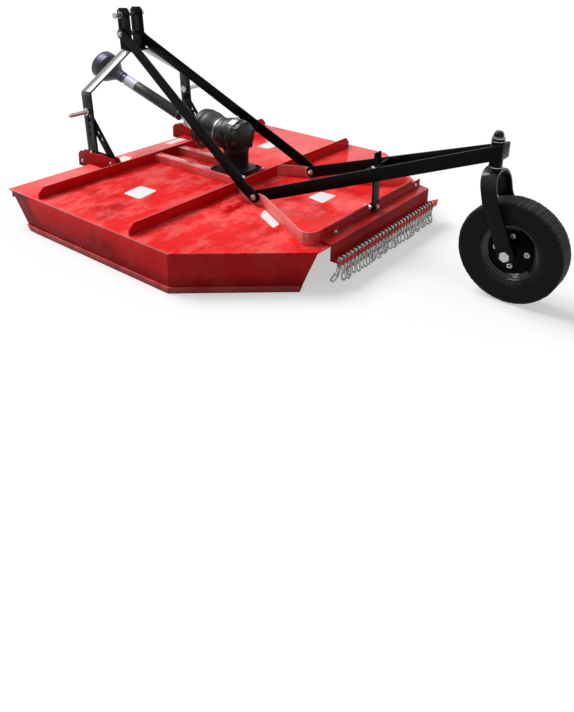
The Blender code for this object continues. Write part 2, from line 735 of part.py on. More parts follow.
def build_gearbox(frame):
    """Cast right angle gearbox: base plate, column, barrel along the input shaft and its cap."""
    half = BASE_PLATE / 2
    low = DECK_TOP + RAIL_HEIGHT + GAP
    plate = block((-half, GEARBOX_Y - half, low), (half, GEARBOX_Y + half, base_top()))
    solid("gearbox_base", plate, "cast_black", frame)
    foot = base_top() + GAP
    column = [(0.0, foot), (COLUMN_RADIUS, foot), (COLUMN_RADIUS, INPUT_HEIGHT), (0.0, INPUT_HEIGHT)]
    body = solid("gearbox_housing", turned(column, ROUND_STEPS, (0, GEARBOX_Y, 0)),
                 "cast_black", frame, smooth=True)
    length = HOUSING_FRONT - HOUSING_REAR
    seat = HOUSING_RADIUS - 0.006
    barrel = [(0.0, 0.0), (seat - 0.010, 0.0), (seat - 0.003, 0.005), (seat, 0.010), (seat, 0.030),
              (HOUSING_RADIUS, 0.034), (HOUSING_RADIUS, length - 0.024), (seat, length - 0.018),
              (seat, length), (0.0, length)]
    cylinder = turned(barrel, ROUND_STEPS, (0, 0, 0), "Y")
    bmesh.ops.transform(cylinder, verts=cylinder.verts,
                        matrix=Matrix.Translation((0, HOUSING_REAR, INPUT_HEIGHT)))
    joined(body, solid("barrel", cylinder, "cast_black", frame))


def build_shield(frame):
    """Bell shaped guard bolted on the gearbox's nose, open towards the driveline."""
    wall = SHIELD_WALL
    rear = HOUSING_FRONT + GAP
    front = SHIELD_FRONT
    step = rear + SHIELD_NECK_LENGTH
    neck = SHIELD_NECK_RADIUS
    body = SHIELD_BODY_RADIUS
    mouth = SHIELD_MOUTH_RADIUS
    wide = step + SHIELD_TAPER
    profile = [(SHIELD_BORE, rear), (neck, rear), (neck, step), (body, wide), (body, front - 0.036),
               (mouth, front - 0.028), (mouth, front), (mouth - wall, front),
               (mouth - wall, front - 0.025), (body - wall, front - 0.034), (body - wall, wide + 0.001),
               (neck - wall, step + 0.002), (neck - wall, rear + wall), (SHIELD_BORE, rear + wall)]
    shape = turned(profile, ROUND_STEPS, (0, 0, INPUT_HEIGHT), "Y")
    solid("input_shield", shape, "black_plastic", frame, smooth=True)


def yoke(name, towards, ear_axis, shaft_radius, shaft_end, parent):
    """A universal joint's fork round the parent's origin. Its base lies along Y at towards times
    the base distance, its two ears face each other across one axis, and its shaft runs on."""
    base = towards * YOKE_BASE
    back = towards * (YOKE_BASE + YOKE_BASE_LENGTH)
    low, high = sorted((base, back))
    body = solid(name, rod(UJOINT_HALF, low, high, (0, 0, 0), "Y"), "zinc", parent, smooth=True)
    arc = [math.radians(-90 + 180 * i / 6) for i in range(7)]
    ear = [(YOKE_EAR_RADIUS * math.sin(a), -towards * YOKE_EAR_RADIUS * math.cos(a)) for a in arc]
    middle = towards * (YOKE_BASE + YOKE_BASE_LENGTH / 2)
    ear += [(YOKE_EAR_RADIUS, middle), (-YOKE_EAR_RADIUS, middle)]
    if ear_axis == "X":
        ear = [(y, across) for across, y in ear]
    inner = UJOINT_HALF - YOKE_EAR
    pieces = [solid("ear", extruded(ear, ear_axis, a, b), "zinc", parent)
              for a, b in ((-UJOINT_HALF + 0.002, -inner), (inner, UJOINT_HALF - 0.002))]
    low, high = sorted((middle, shaft_end))
    pieces.append(solid("shaft", rod(shaft_radius, low, high, (0, 0, 0), "Y"), "zinc", parent))
    joined(body, *pieces)
    cut(body, hole_cutter(UJOINT_PIN_RADIUS + GAP, (0, 0, 0), ear_axis, UJOINT_HALF, parent))
    return body


def cross(name, parent):
    """The joint's spider: a block with four pins, along X and Z."""
    half = UJOINT_BLOCK
    reach = UJOINT_HALF - 0.003
    body = solid(name, block((-half, -half, -half), (half, half, half)), "zinc", parent)
    joined(body, *[solid("pin", rod(UJOINT_PIN_RADIUS, -reach, reach, (0, 0, 0), axis), "zinc", parent)
                   for axis in "XZ"])
    return body


def build_driveline(frame):
    """Two universal joints and a pair of guard tubes that slide in each other."""
    joint = empty("rear_joint", (0, UJOINT_Y, INPUT_HEIGHT), parent=frame)
    yoke("input_yoke", -1, "Z", INPUT_SHAFT_RADIUS, HOUSING_FRONT + GAP - UJOINT_Y, joint)
    line = empty("driveline", rotation=(DRIVE_RISE, 0, 0), parent=joint)
    cross("rear_cross", joint)
    yoke("driveline_yoke", 1, "X", DRIVE_SHAFT_RADIUS, REAR_TUBE_START + 0.040, line)
    bore = TUBE_RADIUS - TUBE_WALL
    start = REAR_TUBE_START
    seat = DRIVE_SHAFT_RADIUS + GAP
    rear = [(TUBE_RADIUS, start), (TUBE_RADIUS, REAR_TUBE_END), (bore, REAR_TUBE_END),
            (bore, start + 0.012), (seat, start + 0.012), (seat, start)]
    solid("driveline_tube", turned(rear, ROUND_STEPS, axis="Y"), "black_plastic", line, smooth=True)
    slider = empty("driveline_slider", parent=line)
    inner = bore - TUBE_CLEARANCE
    hollow = inner - TUBE_WALL
    wall = BELL_WALL
    neck_end = BELL_NECK + 0.012
    bell = [(inner, FRONT_TUBE_START), (inner, BELL_NECK - 0.030), (TUBE_RADIUS, BELL_NECK - 0.026),
            (TUBE_RADIUS + 0.002, BELL_NECK), (BELL_RADIUS - 0.012, BELL_FLARE),
            (BELL_RADIUS, BELL_FLARE + 0.030), (BELL_RADIUS, BELL_END), (BELL_RADIUS - wall, BELL_END),
            (BELL_RADIUS - wall, BELL_FLARE + 0.032), (BELL_RADIUS - 0.016, BELL_FLARE + 0.004),
            (TUBE_RADIUS - wall, neck_end), (seat, neck_end), (seat, BELL_NECK),
            (hollow, BELL_NECK), (hollow, FRONT_TUBE_START)]
    solid("driveline_bell", turned(bell, ROUND_STEPS, axis="Y"), "black_plastic", slider, smooth=True)
    coupling = empty("pto_coupling", (0, FRONT_JOINT, 0), parent=slider)
    yoke("front_shaft_yoke", -1, "Z", DRIVE_SHAFT_RADIUS, BELL_NECK - 0.010 - FRONT_JOINT, coupling)
    cross("front_cross", coupling)
    end = PTO_YOKE_END - FRONT_JOINT
    fork = yoke("pto_yoke", 1, "X", PTO_YOKE_RADIUS, end, coupling)
    splines = rod(PTO_BORE_RADIUS, YOKE_BASE - 0.002, end + 0.01, (0, 0, 0), "Y")
    cut(fork, solid("splines", splines, "zinc", coupling))


# Tail: arms, crossbar, post, hub, caster fork and wheel

def arm_rise(y):
    """Height of the tail arms' middle line at a station."""
    share = (y - FOOT_BOLT_Y) / (SPINDLE_Y - FOOT_BOLT_Y)
    return FOOT_BOLT_Z + (ARM_HUB_Z - FOOT_BOLT_Z) * share


def arm_ends():
    """The right arm's middle line from the foot bolt to a point behind the hub."""
    end_y = SPINDLE_Y - 2 * HUB_RADIUS
    return (Vector((FENCE_FOOT_X - FENCE_SHEET / 2 - GAP - ARM_THICKNESS / 2, FOOT_BOLT_Y, FOOT_BOLT_Z)),
            Vector((HUB_RADIUS + GAP + ARM_THICKNESS / 2, end_y, arm_rise(end_y))))


def arm_side(y, z):
    """X of the right arm's middle plane at a point between its two bent tabs."""
    start, end = arm_ends()
    along = Vector((0, end.y - start.y, end.z - start.z))
    reach = Vector((0, y - start.y, z - start.z)).dot(along.normalized())
    share = (reach - BAR_TAB) / (along.length - 2 * BAR_TAB)
    return start.x + (end.x - start.x) * share


def build_tail(frame):
    rear_face = SPINDLE_Y - HUB_RADIUS + 0.001
    start, end = arm_ends()
    for word, side in SIDES:
        shape = flat_bar(start, end, ARM_WIDTH, ARM_THICKNESS, BAR_TAB)
        trimmed(shape, (0, rear_face + GAP, 0), (0, -1, 0))
        solid(f"tail_arm_{word}", sided(side, shape), "black_paint", frame)
    hub = solid("caster_hub", tube(HUB_RADIUS, HUB_BORE, HUB_BOTTOM, HUB_TOP, (0, SPINDLE_Y, 0)),
                "black_paint", frame, smooth=True)
    middle = arm_rise(rear_face)
    half = ARM_WIDTH / 2 + 0.002
    wide = HUB_RADIUS + GAP + ARM_THICKNESS
    plate = block((-wide, rear_face - END_PLATE_THICKNESS, middle - half), (wide, rear_face, middle + half))
    joined(hub, solid("plate", plate, "black_paint", frame))


def guard_flange_face():
    """Outer face of the chain guard's bolted flange."""
    return FENCE_REAR_Y - GAP - GUARD_SHEET


def build_post(frame):
    """Flat post bolted on the rear fence, and the crossbar it holds between the tail arms."""
    front = guard_flange_face() - GAP
    back = front - POST_THICKNESS
    post = block((POST_LEFT, back, POST_BOTTOM), (POST_LEFT + POST_WIDTH, front, POST_TOP))
    solid("tail_post", post, "black_paint", frame)
    near = back - GAP
    far = near - CROSSBAR_THICKNESS
    slack = ARM_THICKNESS / 2 + GAP
    middle = arm_rise((near + far) / 2)
    low = middle - CROSSBAR_HEIGHT / 2
    high = middle + CROSSBAR_HEIGHT / 2
    corners = ((-1, low), (1, low), (1, high), (-1, high))
    sections = [[(side * (arm_side(y, z) - slack), y, z) for side, z in corners] for y in (near, far)]
    solid("arm_crossbar", skin(sections), "black_paint", frame)


def fork_stations():
    """Centre points of the fork strap from its right foot over the top to its left foot."""
    x = FORK_HALF_WIDTH - FORK_THICKNESS / 2
    top = FORK_TOP - FORK_THICKNESS / 2
    knee = FORK_KNEE_Z
    upper = rounded([(x, knee), (x, top), (-x, top), (-x, knee)], FORK_CORNER, 6)
    line = [Vector((p.x, SPINDLE_Y - FORK_KNEE_BACK * (top - p.y) / (top - knee), p.y)) for p in upper]
    foot = Vector((0, AXLE_Y, WHEEL_RADIUS))
    return line, foot


def build_fork(caster):
    """One strap bent over the wheel, raked back to the axle, with the spindle on its crown.
    The caster's own origin is on the spindle's axis at ground level."""
    line, foot = fork_stations()
    knee = line[0]
    leg = (Vector((knee.x, foot.y, foot.z)) - knee)
    way = leg.normalized()
    half = FORK_WIDTH / 2
    arc = [math.radians(12 + 78 * i / 4) for i in range(5)]
    right = [(knee + leg + way * half * math.cos(a), half * math.sin(a)) for a in arc]
    centres = [(p, w) for p, w in right] + [(p, half) for p in line]
    mirrored = [(Vector((-p.x, p.y, p.z)), w) for p, w in reversed(right)]
    centres += mirrored
    sections = []
    for i, (spot, wide) in enumerate(centres):
        before = centres[max(i - 1, 0)][0]
        after = centres[min(i + 1, len(centres) - 1)][0]
        tangent = (after - before).normalized()
        across = Vector((0, 1, 0)) - tangent * tangent.y
        if abs(tangent.x) < 0.05:
            across = Vector((0, -tangent.z, tangent.y))
            across = -across if across.y < 0 else across
        across.normalize()
        out = across.cross(tangent).normalized() * FORK_THICKNESS / 2
        local = spot - Vector((0, SPINDLE_Y, 0))
        side = across * wide
        sections.append([local - side - out, local + side - out, local + side + out, local - side + out])
    fork = solid("caster_fork", skin(sections), "black_paint", caster)
    spindle = turned([(0.0, FORK_TOP - 0.006), (COLLAR_RADIUS, FORK_TOP - 0.006),
                      (COLLAR_RADIUS, HUB_BOTTOM - GAP), (SPINDLE_RADIUS, HUB_BOTTOM - GAP),
                      (SPINDLE_RADIUS, SPINDLE_TOP - 0.003), (SPINDLE_RADIUS - 0.003, SPINDLE_TOP),
                      (0.0, SPINDLE_TOP)], 24)
    joined(fork, solid("spindle", spindle, "black_paint", caster))
    depth = FORK_HALF_WIDTH + 0.01
    axle = (0, AXLE_Y - SPINDLE_Y, WHEEL_RADIUS)
    cut(fork, hole_cutter(AXLE_BOLT_RADIUS + GAP, axle, "X", depth, caster))
    ring = tube(COLLAR_RADIUS, SPINDLE_RADIUS + GAP, HUB_TOP + GAP, HUB_TOP + GAP + COLLAR_HEIGHT,
                steps=24)
    solid("spindle_collar", ring, "black_paint", caster, smooth=True)
    head = FORK_HALF_WIDTH + GAP
    end = head + AXLE_HEAD_LENGTH
    shank = turned([(0.0, -head - 0.001), (AXLE_BOLT_RADIUS, -head - 0.001),
                    (AXLE_BOLT_RADIUS, head + 0.001), (0.0, head + 0.001)], PIN_STEPS, axle, "X")
    bolt = solid("axle_bolt", shank, "zinc", caster)
    joined(bolt, *[solid("head", rod(AXLE_HEAD_RADIUS, low, high, axle, "X", 6), "zinc", caster)
                   for low, high in ((-end, -head), (head, end))])


def build_wheel(wheel):
    """Solid laminated tyre on a pressed rim with a long hub; the wheel's origin is its centre."""
    r = WHEEL_RADIUS
    w = TYRE_WIDTH / 2
    bore = RIM_RADIUS + GAP
    seat = RIM_HALF_WIDTH
    tyre = [(bore, seat), (bore + 0.020, w - 0.003), (r - TYRE_SHOULDER, w), (r, w - TYRE_SHOULDER),
            (r, TYRE_SHOULDER - w), (r - TYRE_SHOULDER, -w), (bore + 0.020, 0.003 - w), (bore, -seat)]
    solid("tyre", turned(tyre, ROUND_STEPS, axis="X"), "tyre_rubber", wheel, smooth=True)
    hub_half = FORK_HALF_WIDTH - FORK_THICKNESS - WHEEL_HUB_CLEARANCE
    axle = AXLE_BOLT_RADIUS + GAP
    inner = RIM_RADIUS - RIM_SHEET
    dish = -RIM_DISH
    rim = [(axle, -hub_half), (WHEEL_HUB_RADIUS, -hub_half), (WHEEL_HUB_RADIUS, dish - RIM_SHEET),
           (inner, dish - 0.012 - RIM_SHEET), (inner, -seat), (RIM_RADIUS, -seat), (RIM_RADIUS, seat),
           (inner, seat), (inner, dish - 0.012), (WHEEL_HUB_RADIUS, dish), (WHEEL_HUB_RADIUS, hub_half),
           (axle, hub_half)]
    solid("wheel_rim", turned(rim, ROUND_STEPS, axis="X"), "black_paint", wheel, smooth=True)


def build_caster(frame):
    caster = empty("caster", (0, SPINDLE_Y, 0), parent=frame)
    build_fork(caster)
    wheel = empty("tail_wheel", (0, AXLE_Y - SPINDLE_Y, WHEEL_RADIUS), parent=caster)
    build_wheel(wheel)


# Chain guard

def build_guard(frame):
    """Folded sheet bolted on the rear fence; its slotted shelf carries the chains."""
    inner = FENCE_REAR_Y - GAP
    web_inner = GUARD_WEB_Y + GUARD_SHEET
    low = GUARD_SHELF - GUARD_SHEET
    line = [(inner, GUARD_TOP), (inner, GUARD_FLANGE_FOOT), (web_inner, GUARD_FOLD),
            (web_inner, low), (GUARD_LIP_Y, low)]
    outline = band(line, -GUARD_SHEET)
    guard = solid("chain_guard", extruded(outline, "X", GUARD_LEFT, GUARD_RIGHT), "red_paint", frame)
    tip = [(GUARD_RIGHT - 0.002, web_inner), (GUARD_RIGHT + GUARD_TIP, (web_inner + GUARD_LIP_Y) / 2),
           (GUARD_RIGHT - 0.002, GUARD_LIP_Y)]
    joined(guard, solid("tip", extruded(tip, "Z", low, GUARD_SHELF), "red_paint", frame))
    half = GUARD_SLOT_WIDTH / 2
    reach = GUARD_SLOT_LENGTH / 2
    slots = bmesh.new()
    for x in chain_stations():
        piece = block((x - half, ROD_Y - reach, low - 0.01), (x + half, ROD_Y + reach, GUARD_SHELF + 0.01))
        add_shape(slots, piece)
    cut(guard, solid("slots", slots, "red_paint", frame))


def add_shape(shape, other):
    """Adds another bmesh to a shape and frees it."""
    spots = [shape.verts.new(v.co) for v in other.verts]
    other.verts.index_update()
    for face in other.faces:
        shape.faces.new([spots[v.index] for v in face.verts])
    other.free()


def chain_stations():
    return [CHAIN_FIRST_X + CHAIN_PITCH * i for i in range(CHAIN_COUNT)]


def link(x, top, k):
    """One link as a loop of square wire, its crown's centre line at a height. Its ends are pointed
    where another link bears on them, and flat at the top and the bottom of a chain."""
    turned_round = k % 2 == 1
    wide = LINK_WIDTH / 2 - LINK_WIRE
    tall = LINK_PITCH + 2 * LINK_WIRE
    flat = LINK_FLAT_END / 2
    crown = [(-flat, 0), (flat, 0)]
    foot = [(flat, -tall), (-flat, -tall)]
    if k > 0:
        crown = [(-wide, -LINK_SHOULDER), (0, 0), (wide, -LINK_SHOULDER)]
    if k < LINKS_PER_CHAIN - 1:
        foot = [(wide, LINK_SHOULDER - tall), (0, -tall), (-wide, LINK_SHOULDER - tall)]
    corners = crown + foot
    sections = []
    count = len(corners)
    for i, corner in enumerate(corners):
        here = Vector(corner)
        ahead = (Vector(corners[(i + 1) % count]) - here).normalized()
        behind = (here - Vector(corners[i - 1])).normalized()
        normal = Vector((-behind.y, behind.x))
        mitre = (normal + Vector((-ahead.y, ahead.x))).normalized()
        out = mitre * LINK_WIRE / mitre.dot(normal)
        diamond = [(here + out, 0), (here, LINK_WIRE), (here - out, 0), (here, -LINK_WIRE)]
        section = []
        for spot, depth in diamond:
            along_x, along_y = (spot.x, depth) if turned_round else (depth, spot.x)
            section.append((x + along_x, ROD_Y + along_y, top + spot.y))
        sections.append(section)
    return skin(sections, ring=True)


def build_chains(frame):
    """Short chains hung on one rod; links fused where they bear on each other."""
    rod_height = GUARD_SHELF + GAP + ROD_RADIUS
    crown = rod_height + ROD_RADIUS + LINK_WIRE - LINK_SEAT
    slope = math.atan2(LINK_SHOULDER, LINK_WIDTH / 2 - LINK_WIRE)
    point = LINK_WIRE / math.cos(slope)
    step = LINK_PITCH + 2 * LINK_WIRE - 2 * point + LINK_SEAT
    groups = []
    for parity in (0, 1):
        shapes = bmesh.new()
        for x in chain_stations():
            for k in range(parity, LINKS_PER_CHAIN, 2):
                add_shape(shapes, link(x, crown - k * step, k))
        groups.append(solid(f"links_{parity}", shapes, "zinc", frame))
    first = CHAIN_FIRST_X - CHAIN_PITCH / 2
    last = CHAIN_FIRST_X + CHAIN_PITCH * (CHAIN_COUNT - 0.5)
    carrier = solid("chain_curtain", rod(ROD_RADIUS, first, last, (0, ROD_Y, rod_height), "X", 4),
                    "zinc", frame)
    joined(groups[0], groups[1])
    joined(carrier, groups[0])


# Rotor under the deck

def build_rotor(frame):
    """Output shaft with a crossbar, and a swinging blade bolted under each of its ends."""
    rotor = empty("rotor", (0, GEARBOX_Y, 0), parent=frame)
    low = BLADE_BAR_Z
    high = low + BLADE_BAR_THICKNESS
    reach = BLADE_BAR_HALF
    half = BLADE_BAR_WIDTH / 2
    arc = [math.radians(-90 + 180 * i / 8) for i in range(9)]
    plan = [(reach + half * math.cos(a), half * math.sin(a)) for a in arc]
    plan += [(-x, -y) for x, y in plan]
    bar = solid("blade_carrier", extruded(plan, "Z", low, high), "blade_steel", rotor)
    top = DECK_TOP + RAIL_HEIGHT
    nut = low - 0.022
    shaft = turned([(0.0, nut), (0.024, nut), (0.024, low + 0.002), (ROTOR_BOSS_RADIUS, low + 0.002),
                    (ROTOR_BOSS_RADIUS, high + 0.030), (0.030, high + 0.040), (ROTOR_SHAFT_RADIUS, high + 0.042),
                    (ROTOR_SHAFT_RADIUS, top), (0.0, top)], 24)
    joined(bar, solid("shaft", shaft, "blade_steel", rotor))
    blade_top = low - GAP
    blade_low = blade_top - BLADE_THICKNESS
    for word, side in SIDES:
        x = side * reach
        bolt = turned([(0.0, blade_low - GAP - 0.010), (BLADE_BOLT_HEAD - 0.003, blade_low - GAP - 0.010),
                       (BLADE_BOLT_HEAD, blade_low - GAP - 0.007), (BLADE_BOLT_HEAD, blade_low - GAP),
                       (BLADE_BOLT_RADIUS, blade_low - GAP), (BLADE_BOLT_RADIUS, high + 0.012),
                       (0.0, high + 0.012)], PIN_STEPS, (x, 0, 0))
        joined(bar, solid("bolt", bolt, "blade_steel", rotor))
        pivot = empty(f"blade_pivot_{word}", (x, 0, 0), parent=rotor)
        wide = BLADE_WIDTH / 2
        tip = BLADE_REACH
        heel = [math.radians(90 + 180 * i / 8) for i in range(9)]
        plan_blade = [(wide * math.cos(a), wide * math.sin(a)) for a in heel]
        plan_blade += [(tip - 0.014, -wide), (tip, 0.014 - wide), (tip, wide)]
        plan_blade = [(side * a, side * b) for a, b in plan_blade]
        blade = solid(f"blade_{word}", extruded(plan_blade, "Z", blade_low, blade_top), "blade_steel", pivot)
        cut(blade, hole_cutter(BLADE_BOLT_RADIUS + BLADE_BOLT_CLEARANCE, (0, 0, blade_low), "Z", 0.05,
                               pivot, PIN_STEPS))


def centre_row(frame):
    """Moves the whole machine along Y until the origin lies under the middle of its length."""
    bpy.context.view_layer.update()
    reach = [(piece.matrix_world @ v.co).y for piece in bpy.data.objects if piece.type == "MESH"
             for v in piece.data.vertices]
    frame.location.y = -(min(reach) + max(reach)) / 2


clear_scene()
origin = empty("origin")
hitch_frame = empty("hitch_frame", (0, HITCH_FOOT_Y, HITCH_FOOT_Z), (-HITCH_LEAN, 0, 0), origin)
build_deck(origin)
build_skirts(origin)
build_ribs(origin)
build_rails(origin)
build_fence(origin)
build_lugs(origin)
lower_pin_rise = build_arch(hitch_frame)
build_hitch_pins(hitch_frame, lower_pin_rise)
stay_rise = build_mast(hitch_frame)
build_stays(origin, stay_rise)
build_braces(origin)
build_gearbox(origin)
build_shield(origin)
build_driveline(origin)
build_tail(origin)
build_post(origin)
build_caster(origin)
build_guard(origin)
build_chains(origin)
build_rotor(origin)
centre_row(origin)
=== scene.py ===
# Rotary slasher on a three point hitch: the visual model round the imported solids.
# Metres in the row frame: +Y forward to the tractor, +X to the machine's right, z = 0 on the ground.
# A station is a distance in front of the deck's front edge, and is negative behind it.

import math

import bmesh
import bpy
import numpy as np
from mathutils import Matrix, Vector
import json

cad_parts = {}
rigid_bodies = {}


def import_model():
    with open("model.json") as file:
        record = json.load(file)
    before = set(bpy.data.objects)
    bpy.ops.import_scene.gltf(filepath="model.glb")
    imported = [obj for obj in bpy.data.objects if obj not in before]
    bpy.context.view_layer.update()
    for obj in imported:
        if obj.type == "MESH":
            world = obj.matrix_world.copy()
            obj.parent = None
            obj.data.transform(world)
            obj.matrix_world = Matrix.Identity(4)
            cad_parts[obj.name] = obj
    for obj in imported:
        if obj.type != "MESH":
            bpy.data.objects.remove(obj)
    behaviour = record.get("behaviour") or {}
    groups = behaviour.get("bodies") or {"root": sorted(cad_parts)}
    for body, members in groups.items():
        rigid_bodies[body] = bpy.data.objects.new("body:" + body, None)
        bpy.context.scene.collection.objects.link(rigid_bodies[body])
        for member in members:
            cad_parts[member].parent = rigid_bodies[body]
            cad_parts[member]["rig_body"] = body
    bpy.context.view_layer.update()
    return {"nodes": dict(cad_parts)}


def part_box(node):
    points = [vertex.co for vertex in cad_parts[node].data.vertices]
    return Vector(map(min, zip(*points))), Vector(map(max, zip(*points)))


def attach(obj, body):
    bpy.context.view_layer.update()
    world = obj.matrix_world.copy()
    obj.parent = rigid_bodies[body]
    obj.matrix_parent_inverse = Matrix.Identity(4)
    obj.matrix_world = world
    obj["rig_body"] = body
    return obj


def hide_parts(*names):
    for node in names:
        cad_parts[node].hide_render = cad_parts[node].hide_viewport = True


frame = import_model()
nodes = frame["nodes"]


# Camera. It stands behind the left rear corner of the mower, at standing eye height, and was placed
# from the deck's own corners. The lens is shifted because the mower fills only the upper part of
# the frame.

DECK_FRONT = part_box("deck_plate")[1].y
EYE = Vector((-2.504, DECK_FRONT - 2.942, 1.394))
EYE_YAW, EYE_PITCH, EYE_ROLL = 52.36, -18.62, 0.98      # degrees, yaw from +Y towards +X
FOCAL_PIXELS = 720.2
FRAME_WIDTH, FRAME_HEIGHT = 574, 712
AXIS_PIXEL = (287.0, 158.8)                             # where the lens axis meets the frame

camera = bpy.data.objects.new("camera", bpy.data.cameras.new("camera"))
bpy.context.scene.collection.objects.link(camera)
yaw, pitch, roll = (math.radians(a) for a in (EYE_YAW, EYE_PITCH, EYE_ROLL))
forward = Vector((math.sin(yaw) * math.cos(pitch), math.cos(yaw) * math.cos(pitch), math.sin(pitch)))
level = Vector((math.cos(yaw), -math.sin(yaw), 0))
upward = level.cross(forward)
right = level * math.cos(roll) + upward * math.sin(roll)
above = upward * math.cos(roll) - level * math.sin(roll)
camera.matrix_world = Matrix((right, above, -forward)).transposed().to_4x4()
camera.location = EYE
camera.data.sensor_width = 36.0
camera.data.lens = FOCAL_PIXELS * camera.data.sensor_width / FRAME_HEIGHT
camera.data.shift_x = (FRAME_WIDTH / 2 - AXIS_PIXEL[0]) / FRAME_HEIGHT
camera.data.shift_y = (AXIS_PIXEL[1] - FRAME_HEIGHT / 2) / FRAME_HEIGHT
bpy.context.scene.camera = camera
bpy.context.scene.view_settings.view_transform = "Standard"


# Studio floor and light. One broad soft lamp stands high in front of the machine, and a dim dome
# fills the shade. The floor glows faintly, so that it shows white to the camera under the lamp and
# grey in the machine's shade. Floor and dome throw little light back on the machine.

class Value:
    """A node's output. Arithmetic on it adds one Math node an operation."""

    def __init__(self, look, socket):
        self.look = look
        self.socket = socket

    def maths(self, operation, first, second=None):
        return self.look.node("ShaderNodeMath", {"operation": operation}, first, second)

    def __add__(self, other):
        return self.maths("ADD", self, other)

    __radd__ = __add__

    def __mul__(self, other):
        return self.maths("MULTIPLY", self, other)

    __rmul__ = __mul__

    def __sub__(self, other):
        return self.maths("SUBTRACT", self, other)

    def __rsub__(self, other):
        return self.maths("SUBTRACT", other, self)

    def ramp(self, low, high):
        """0 at low, 1 at high and a smooth rise between them."""
        return self.look.node("ShaderNodeMapRange", {"interpolation_type": "SMOOTHSTEP"},
                              self, low, high, 0.0, 1.0)


class Look:
    """A material, or the world's light, and the nodes that it is made of."""

    def __init__(self, name, holder=None, **constants):
        self.holder = holder or bpy.data.materials.new(name)
        self.holder.use_nodes = True
        self.tree = self.holder.node_tree
        self.shader = self.tree.nodes.get("Principled BSDF")
        for key, value in constants.items():
            self.shader.inputs[key.replace("_", " ")].default_value = value

    def node(self, kind, settings, *values, output=0):
        """Any node: its settings first, then the values or links of its sockets in order."""
        made = self.tree.nodes.new(kind)
        for key, value in settings.items():
            setattr(made, key, value)
        for socket, value in zip([s for s in made.inputs if s.enabled], values):
            if isinstance(value, Value):
                self.tree.links.new(value.socket, socket)
            elif value is not None:
                socket.default_value = value
        return Value(self, [s for s in made.outputs if s.enabled][output])

    def place(self):
        """Object coordinates: metres in the row frame."""
        return self.node("ShaderNodeTexCoord", {}, output=3)

    def stretched(self, scale):
        """Object coordinates times a scale on each axis."""
        return self.node("ShaderNodeVectorMath", {"operation": "MULTIPLY"}, self.place(), scale)

    def axis(self, index):
        """One Object coordinate as a number."""
        return self.node("ShaderNodeSeparateXYZ", {}, self.place(), output=index)

    def noise(self, scale, detail=3.0, roughness=0.55, vector=None):
        return self.node("ShaderNodeTexNoise", {}, vector or self.place(), scale, detail, roughness)

    def cells(self, scale):
        """Distance to the nearest of many scattered points."""
        return self.node("ShaderNodeTexVoronoi", {}, self.place(), scale)

    def blend(self, factor, first, second):
        """A colour between two colours."""
        return self.node("ShaderNodeMix", {"data_type": "RGBA"}, factor, first, second)

    def seen_directly(self):
        """1 for what the camera, a reflection or a clear piece sees, and 0 for light on a surface."""
        path = self.tree.nodes.new("ShaderNodeLightPath").outputs
        camera_ray, glossy_ray, clear_ray = (Value(self, path[n]) for n in
                                             ("Is Camera Ray", "Is Glossy Ray", "Is Transmission Ray"))
        return camera_ray.maths("MAXIMUM", camera_ray, glossy_ray.maths("MAXIMUM", glossy_ray, clear_ray))

    def feed(self, name, value):
        self.tree.links.new(value.socket, self.shader.inputs[name])
        return self

    def bump(self, height, strength, distance):
        """Raises the surface by height, in shares of a distance in metres."""
        raised = self.node("ShaderNodeBump", {}, strength, distance)
        self.tree.links.new(height.socket, raised.socket.node.inputs["Height"])
        return self.feed("Normal", raised)


FLOOR_REACH = 40.0
FLOOR_SHOWN = (0.42, 0.42, 0.42, 1.0)
FLOOR_GLOW = (0.51, 0.51, 0.51, 1.0)
FLOOR_BOUNCE = (0.20, 0.20, 0.20, 1.0)
DARK = (0.0, 0.0, 0.0, 1.0)

floor_look = Look("floor", Roughness=0.9, Specular_IOR_Level=0.0, Emission_Strength=1.0)
floor_look.feed("Base Color", floor_look.blend(floor_look.seen_directly(), FLOOR_BOUNCE, FLOOR_SHOWN))
floor_look.feed("Emission Color", floor_look.blend(floor_look.seen_directly(), DARK, FLOOR_GLOW))
floor_line = np.linspace(-FLOOR_REACH, FLOOR_REACH, 3)
across, along = np.meshgrid(floor_line, floor_line)
floor_mesh = bpy.data.meshes.new("floor")
floor_mesh.from_pydata(np.stack([across, along, 0 * along], -1).reshape(-1, 3).tolist(), [],
                       [(0, 1, 4, 3), (1, 2, 5, 4), (3, 4, 7, 6), (4, 5, 8, 7)])
floor_mesh.materials.append(floor_look.holder)
floor = bpy.data.objects.new("floor", floor_mesh)
bpy.context.scene.collection.objects.link(floor)

DOME_LIGHT = (0.27, 0.275, 0.29, 1.0)
DOME_SHOWN = (1.0, 1.0, 1.0, 1.0)
world = bpy.data.worlds.new("studio")
bpy.context.scene.world = world
dome = Look("studio", world)
dome.tree.links.new(dome.blend(dome.seen_directly(), DOME_LIGHT, DOME_SHOWN).socket,
                    dome.tree.nodes["Background"].inputs["Color"])

LAMP_FROM = Vector((-0.06, 0.62, 0.78))                 # direction from the machine to the lamp
LAMP_POWER = 3.7
LAMP_SPREAD = 36.0                                      # degrees
lamp = bpy.data.lights.new("high_front", "SUN")
lamp.energy = LAMP_POWER
lamp.angle = math.radians(LAMP_SPREAD)
lamp_holder = bpy.data.objects.new("high_front", lamp)
bpy.context.scene.collection.objects.link(lamp_holder)
lamp_holder.rotation_euler = LAMP_FROM.to_track_quat("Z", "Y").to_euler()
